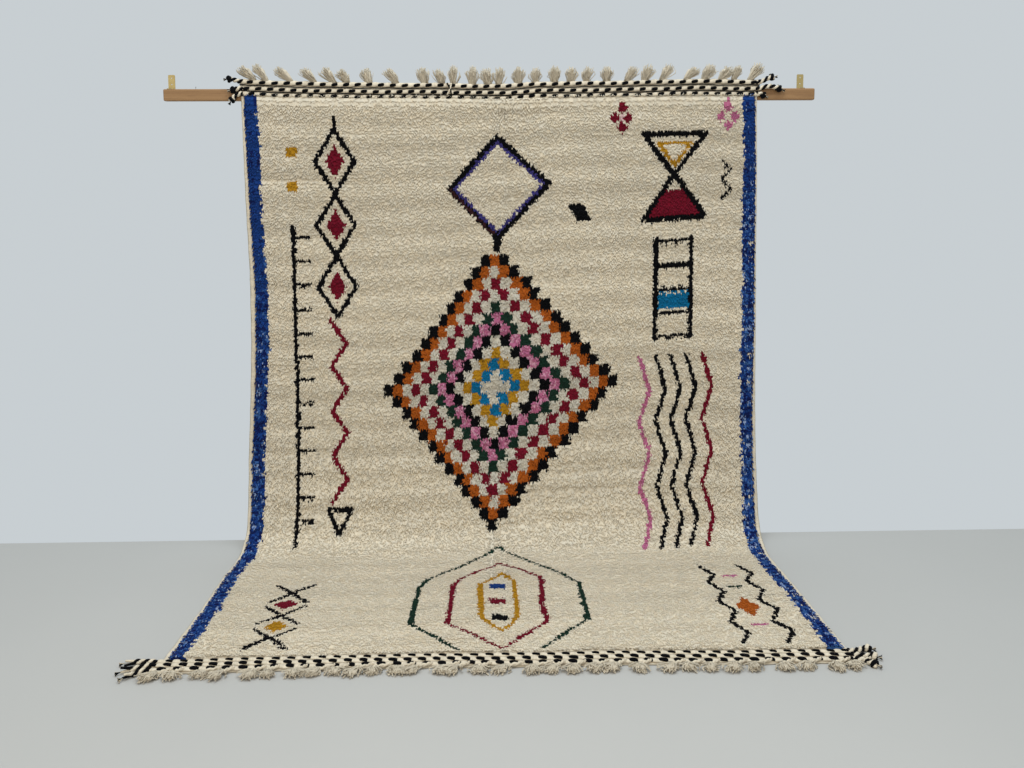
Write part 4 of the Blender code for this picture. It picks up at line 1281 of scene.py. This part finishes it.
def tassel_cores(band, table, slants, brush, off, reach):
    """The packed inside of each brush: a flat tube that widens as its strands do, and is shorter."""
    root, start, spread = brush
    t = np.linspace(0.0, 1.0, 5)[None, :]
    middle, high, lean = (column[:, None] for column in table.T)
    high = high + HANG_SHARE * band.hang(middle)
    x = middle + slants[:, None] * (1.0 - ease(t * reach)) + lean * t * reach
    past = band.width + high * (start + (reach - start) * t)
    path = band.point(x, past, off)
    radius = 0.78 * (root + (spread - root) * opened(t * reach)) * np.sqrt(1.02 - t**4)
    facing = band.point(x, past, off + 0.01) - path
    return [sweep(path, radius, 8, facing, 0.80 * CREAM, flat=0.45)]


top_slants = np.interp(TOP_TASSELS[:, 0], (-0.6, -0.2, 0.4, 0.7), (0.032, 0.004, -0.004, -0.026))
top_slants = top_slants * rng.uniform(0.7, 1.3, len(TOP_TASSELS))
bottom_slants = 0.055 * rng.uniform(0.6, 1.25, len(BOTTOM_TASSELS))
folded = 0.2 * bottom_slants
top_brushes = add_yarn(
    "top_tassels",
    tassel_cores(TOP_BAND, TOP_TASSELS, top_slants, TOP_BRUSH, 0.0060, 0.80)
    + tassel_strands(TOP_BAND, TOP_TASSELS, top_slants, 60, TOP_BRUSH, -0.0080, 0.0200, 0.0021),
)
bottom_brushes = add_yarn(
    "bottom_tassels",
    tassel_cords(BOTTOM_BAND, BOTTOM_TASSELS, bottom_slants, 0.0150, 0.0075)
    + tassel_cores(BOTTOM_BAND, BOTTOM_TASSELS, folded, BOTTOM_BRUSH, 0.0090, 0.78)
    + tassel_strands(BOTTOM_BAND, BOTTOM_TASSELS, folded, 44, BOTTOM_BRUSH, 0.0028, 0.0185, 0.0027),
)

# %% [markdown]
# ## The loose rope ends
# At each corner the twining yarns run on, twisted together, and end in a knot, but for the lower left
# ones, which came untied. A rope is two plies on a helix about a smooth path, black and cream, and its
# knot is the same two plies wound wider in a few tight turns, with a little frayed brush beyond.

# %% Make the rope ends
# The steps of each from the band's end: outwards across, past its twined row, off the cloth
TOP_ROPES = {
    ("left", 0): ((0.018, 0.004, 0.010), (0.034, 0.007, 0.012), (0.045, 0.006, 0.012)),
    ("left", 1): ((0.012, -0.004, 0.012), (0.023, -0.008, 0.013), (0.032, -0.010, 0.013)),
    ("left", 2): ((0.013, -0.006, 0.012), (0.026, -0.018, 0.013), (0.034, -0.032, 0.013)),
    ("right", 0): ((0.018, 0.006, 0.010), (0.036, 0.016, 0.012), (0.054, 0.018, 0.012)),
    ("right", 1): (
        (0.020, 0.006, 0.012), (0.040, 0.009, 0.014), (0.064, 0.003, 0.014), (0.086, -0.006, 0.012),
    ),
    ("right", 2): ((0.007, -0.002, 0.012), (0.014, -0.005, 0.012), (0.020, -0.008, 0.012)),
}
BOTTOM_ROPES = {
    ("left", 0): ((0.018, 0.006, 0.0075), (0.036, 0.024, 0.0075), (0.050, 0.040, 0.0085)),
    ("left", 1): ((0.020, 0.004, 0.0075), (0.044, 0.014, 0.0075), (0.072, 0.030, 0.0085)),
    ("left", 2): ((0.022, -0.002, 0.0075), (0.050, -0.004, 0.0075), (0.080, 0.004, 0.0085)),
    ("right", 0): ((0.018, 0.008, 0.0075), (0.030, 0.022, 0.0075), (0.040, 0.034, 0.0085)),
    ("right", 1): ((0.020, 0.002, 0.0075), (0.042, 0.006, 0.0075), (0.060, 0.014, 0.0085)),
    ("right", 2): ((0.020, -0.006, 0.0075), (0.042, -0.016, 0.0075), (0.062, -0.010, 0.0085)),
}
ROPE_STATIONS = 44
ROPE_OFF = 0.0085
ROPE_HIDDEN = 0.012
ROPE_PITCH = 0.030
ROPE_BLACK = BLACK * 1.15


def rope(band, side, row, steps):
    """One rope end: plies at a growing phase round the path, wound wider over its last fifth for the knot.

    The untied ends' plies stop turning and splay apart instead.
    """
    outwards = -1.0 if side == "left" else 1.0
    start = np.array((band.ends[0 if side == "left" else 1], band.rows[row][0], ROPE_OFF))
    nodes = [start - (outwards * ROPE_HIDDEN, 0.0, 0.0), start]
    nodes += [(start[0] + outwards * out, start[1] + past, off) for out, past, off in steps]
    nodes = np.array(nodes)
    reach = np.concatenate([[0.0], np.cumsum(np.linalg.norm(np.diff(nodes, axis=0), axis=1))])
    t = np.linspace(0.0, reach[-1], ROPE_STATIONS)
    across, past, off = (np.interp(t, reach, nodes[:, axis]) for axis in range(3))
    soft = np.array([1.0, 2.0, 3.0, 2.0, 1.0]) / 9.0
    across, past, off = (
        np.convolve(np.pad(line, 2, mode="edge"), soft, mode="valid") for line in (across, past, off)
    )
    untied = float(side == "left" and not band.at_top)
    share = t / reach[-1]
    knot = (1.0 - untied) * ease((share - 0.78) / 0.06) * (1.0 - ease((share - 0.94) / 0.06))
    splay = untied * ease((share - 0.62) / 0.38)
    turns = np.minimum(t, 0.70 * reach[-1]) if untied else t
    middle = band.point(across, past, off)
    way = np.gradient(middle, axis=0)
    way /= np.linalg.norm(way, axis=1, keepdims=True)
    normal = band.point(across, past, off + 0.01) - middle
    side_way = np.cross(way, normal)
    side_way /= np.linalg.norm(side_way, axis=1, keepdims=True)
    lift_way = np.cross(side_way, way)
    parts = []
    for dye_and_shade, half_turn in ((ROPE_BLACK, 0.0), (CREAM, math.pi)):
        wound = turns / ROPE_PITCH + 2.2 * np.cumsum(knot) / ROPE_STATIONS
        phase = 2 * math.pi * wound + half_turn + row
        wide = 0.0046 + 0.0036 * knot + 0.009 * splay
        swing = np.cos(phase)[:, None] * side_way + np.sin(phase)[:, None] * lift_way
        path = middle + wide[:, None] * swing
        path[:, 2] = np.maximum(path[:, 2], FLOOR_Z + 0.0066)
        radius = 0.0050 * (1.0 + 0.35 * knot - 0.35 * splay)
        shades = np.where((knot > 0.5)[:, None] & band.at_top, ROPE_BLACK, dye_and_shade)
        shades = shades[None, :, None] * rng.uniform(0.9, 1.06, (1, ROPE_STATIONS, 1, 1))
        parts.append(sweep(path[None], radius[None], 6, normal[None], shades))
    parts.append(frayed(middle[-1], way[-1], side_way[-1], lift_way[-1]))
    return parts


def frayed(root, way, side_way, lift_way):
    """A little brush of strands beyond the knot, each bent a little more than it leans."""
    count = 14
    t = np.linspace(0.0, 1.0, 4)[None, :, None]
    lean = rng.uniform(-1.0, 1.0, (count, 2, 1, 1))
    bend = t**1.5 * 0.006
    path = root + way * t * 0.015 + side_way * lean[:, 0] * bend + lift_way * lean[:, 1] * bend
    path[..., 2] = np.maximum(path[..., 2], FLOOR_Z + 0.0014)
    shades = np.where(rng.uniform(size=(count, 1, 1, 1)) < 0.55, BLACK, CREAM)
    return sweep(path, 0.0012, 3, (0.3, 0.4, 0.86), shades)


top_ends = add_yarn(
    "top_rope_ends",
    [part for (side, row), steps in TOP_ROPES.items() for part in rope(TOP_BAND, side, row, steps)],
)
bottom_ends = add_yarn(
    "bottom_rope_ends",
    [part for (side, row), steps in BOTTOM_ROPES.items() for part in rope(BOTTOM_BAND, side, row, steps)],
)

# %% [markdown]
# ## A nail in the batten
# A small wire nail stands in the batten's top near its left end: a profile turned round an upright
# axis.

# %% Make the nail
NAIL_PLACE = (-1.141, -0.0125)


def turned(name, profile, middle, sides, material):
    """A closed solid of revolution: each (radius, z) becomes a ring, and a face closes each end."""
    radius, z = np.array(profile).T
    turn = np.arange(sides) * 2 * math.pi / sides
    x = middle[0] + radius[:, None] * np.cos(turn)
    y = middle[1] + radius[:, None] * np.sin(turn)
    points = np.stack([x, y, np.broadcast_to(z[:, None], x.shape)], axis=-1)
    index = np.arange(points.shape[0] * sides).reshape(-1, sides)
    here, there = index[:-1], index[1:]
    quads = np.stack([here, np.roll(here, -1, 1), np.roll(there, -1, 1), there], axis=-1).reshape(-1, 4)
    return make_piece(name, points, [quads, np.stack([index[0, ::-1], index[-1]])], material, smooth=False)


nail = turned(
    "batten_nail",
    [
        (0.0008, BATTEN_TOP_Z - 0.004), (0.0008, BATTEN_TOP_Z + 0.0080), (0.0021, BATTEN_TOP_Z + 0.0084),
        (0.0023, BATTEN_TOP_Z + 0.0090), (0.0014, BATTEN_TOP_Z + 0.0095),
    ],
    NAIL_PLACE, 12, STEEL,
)

# %% [markdown]
# ## What rides and what is replaced
# The rug doesn't move on its own, so every piece rides on the one body. The new pieces stand for the
# plain rug and its two plain fringes, and the batten, brackets and screws keep their own meshes.

# %% Tell the frame about every piece
for piece in PIECES.values():
    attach(piece, "root")
for pieces, slot_name, node_name in (
    ((ground, *pile_pieces, selvedge_piece), "wool_pile", "rug"),
    ((top_rows, top_brushes, top_ends), "wool_yarn", "top_fringe"),
    ((bottom_rows, bottom_brushes, bottom_ends), "wool_yarn", "bottom_fringe"),
):
    for piece in pieces:
        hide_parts(node_name)
print(len(PIECES), "new pieces")

# %% [markdown]
# ## Floor, light and camera
# The floor is a plain pale plane under the rug. The light is soft: a broad cool lamp overhead, a dimmer
# and warmer one low in front, and a pale sky all round. The camera stands 3.3 m out and 1.37 m above
# the floor, and looks 5 degrees down.

# %% Stage the floor
def floor_finish():
    recipe = Recipe("pale floor")
    cloud = recipe.noise(recipe.coords(), 1.2, 4.0)
    colour = recipe.mix(cloud * 0.5, tone(180, 178, 173), tone(168, 166, 161))
    return recipe.finish(colour, 0.75)


FLOOR_SIDE, FLOOR_FRONT, FLOOR_BACK = 6.0, -9.0, 0.01
FLOOR_BELOW = 0.0005
floor_corners = [
    (-FLOOR_SIDE, FLOOR_FRONT), (FLOOR_SIDE, FLOOR_FRONT),
    (FLOOR_SIDE, FLOOR_BACK), (-FLOOR_SIDE, FLOOR_BACK),
]
floor_mesh = bpy.data.meshes.new("floor")
floor_mesh.from_pydata([(x, y, FLOOR_Z - FLOOR_BELOW) for x, y in floor_corners], [], [(0, 1, 2, 3)])
floor_mesh.materials.append(floor_finish())
floor = bpy.data.objects.new("floor", floor_mesh)
bpy.context.scene.collection.objects.link(floor)

# %% Light it
bpy.context.scene.view_settings.view_transform = "Standard"
world = bpy.data.worlds.new("studio")
world.use_nodes = True
sky = world.node_tree.nodes["Background"].inputs
sky["Color"].default_value = (*tone(215, 222, 226), 1.0)
sky["Strength"].default_value = 0.85
bpy.context.scene.world = world


def lamp(name, place, aim, size, watts, colour):
    """A square area lamp that looks from its place towards its aim."""
    light = bpy.data.lights.new(name, "AREA")
    light.size = size
    light.energy = watts
    light.color = colour
    made = bpy.data.objects.new(name, light)
    made.location = place
    way = np.array(aim, float) - np.array(place, float)
    across_plan = math.hypot(way[0], way[1])
    made.rotation_euler = (math.atan2(across_plan, -way[2]), 0.0, math.atan2(way[0], -way[1]) + math.pi)
    bpy.context.scene.collection.objects.link(made)
    print("lamp:", name, watts, "W")


lamp("window", (-0.5, -3.6, 0.8), (0.0, -0.3, -0.8), 3.0, 50.0, (1.0, 0.86, 0.68))
lamp("ceiling", (0.2, -1.6, 3.2), (0.2, -1.4, -1.8), 3.0, 158.0, (0.79, 0.90, 1.0))

# %% Stand the camera
LENS_PIXELS = 830.0
SENSOR_MM = 36.0
PICTURE_WIDE, PICTURE_HIGH = 1024, 768
LENS_AXIS_ROW = 274.6
CAMERA_PLACE = (-0.0045, -3.29, -0.4155)
PITCH, YAW, ROLL = math.radians(5.0), math.radians(1.38), math.radians(-0.27)
camera_data = bpy.data.cameras.new("camera")
camera_data.sensor_width = SENSOR_MM
camera_data.lens = LENS_PIXELS / PICTURE_WIDE * SENSOR_MM
camera_data.shift_y = (LENS_AXIS_ROW - PICTURE_HIGH / 2) / PICTURE_WIDE
forward = np.array([math.sin(YAW) * math.cos(PITCH), math.cos(YAW) * math.cos(PITCH), -math.sin(PITCH)])
level = np.array([math.cos(YAW), -math.sin(YAW), 0.0])
upright = np.cross(level, forward)
right_way = math.cos(ROLL) * level + math.sin(ROLL) * upright
up_way = -math.sin(ROLL) * level + math.cos(ROLL) * upright
camera = bpy.data.objects.new("camera", camera_data)
turned_by = np.eye(4)
turned_by[:3, :3] = np.stack([right_way, up_way, -forward], axis=1)
turned_by[:3, 3] = CAMERA_PLACE
camera.matrix_world = Matrix(turned_by)
bpy.context.scene.collection.objects.link(camera)
bpy.context.scene.camera = camera
print("camera shift", round(camera_data.shift_y, 4))
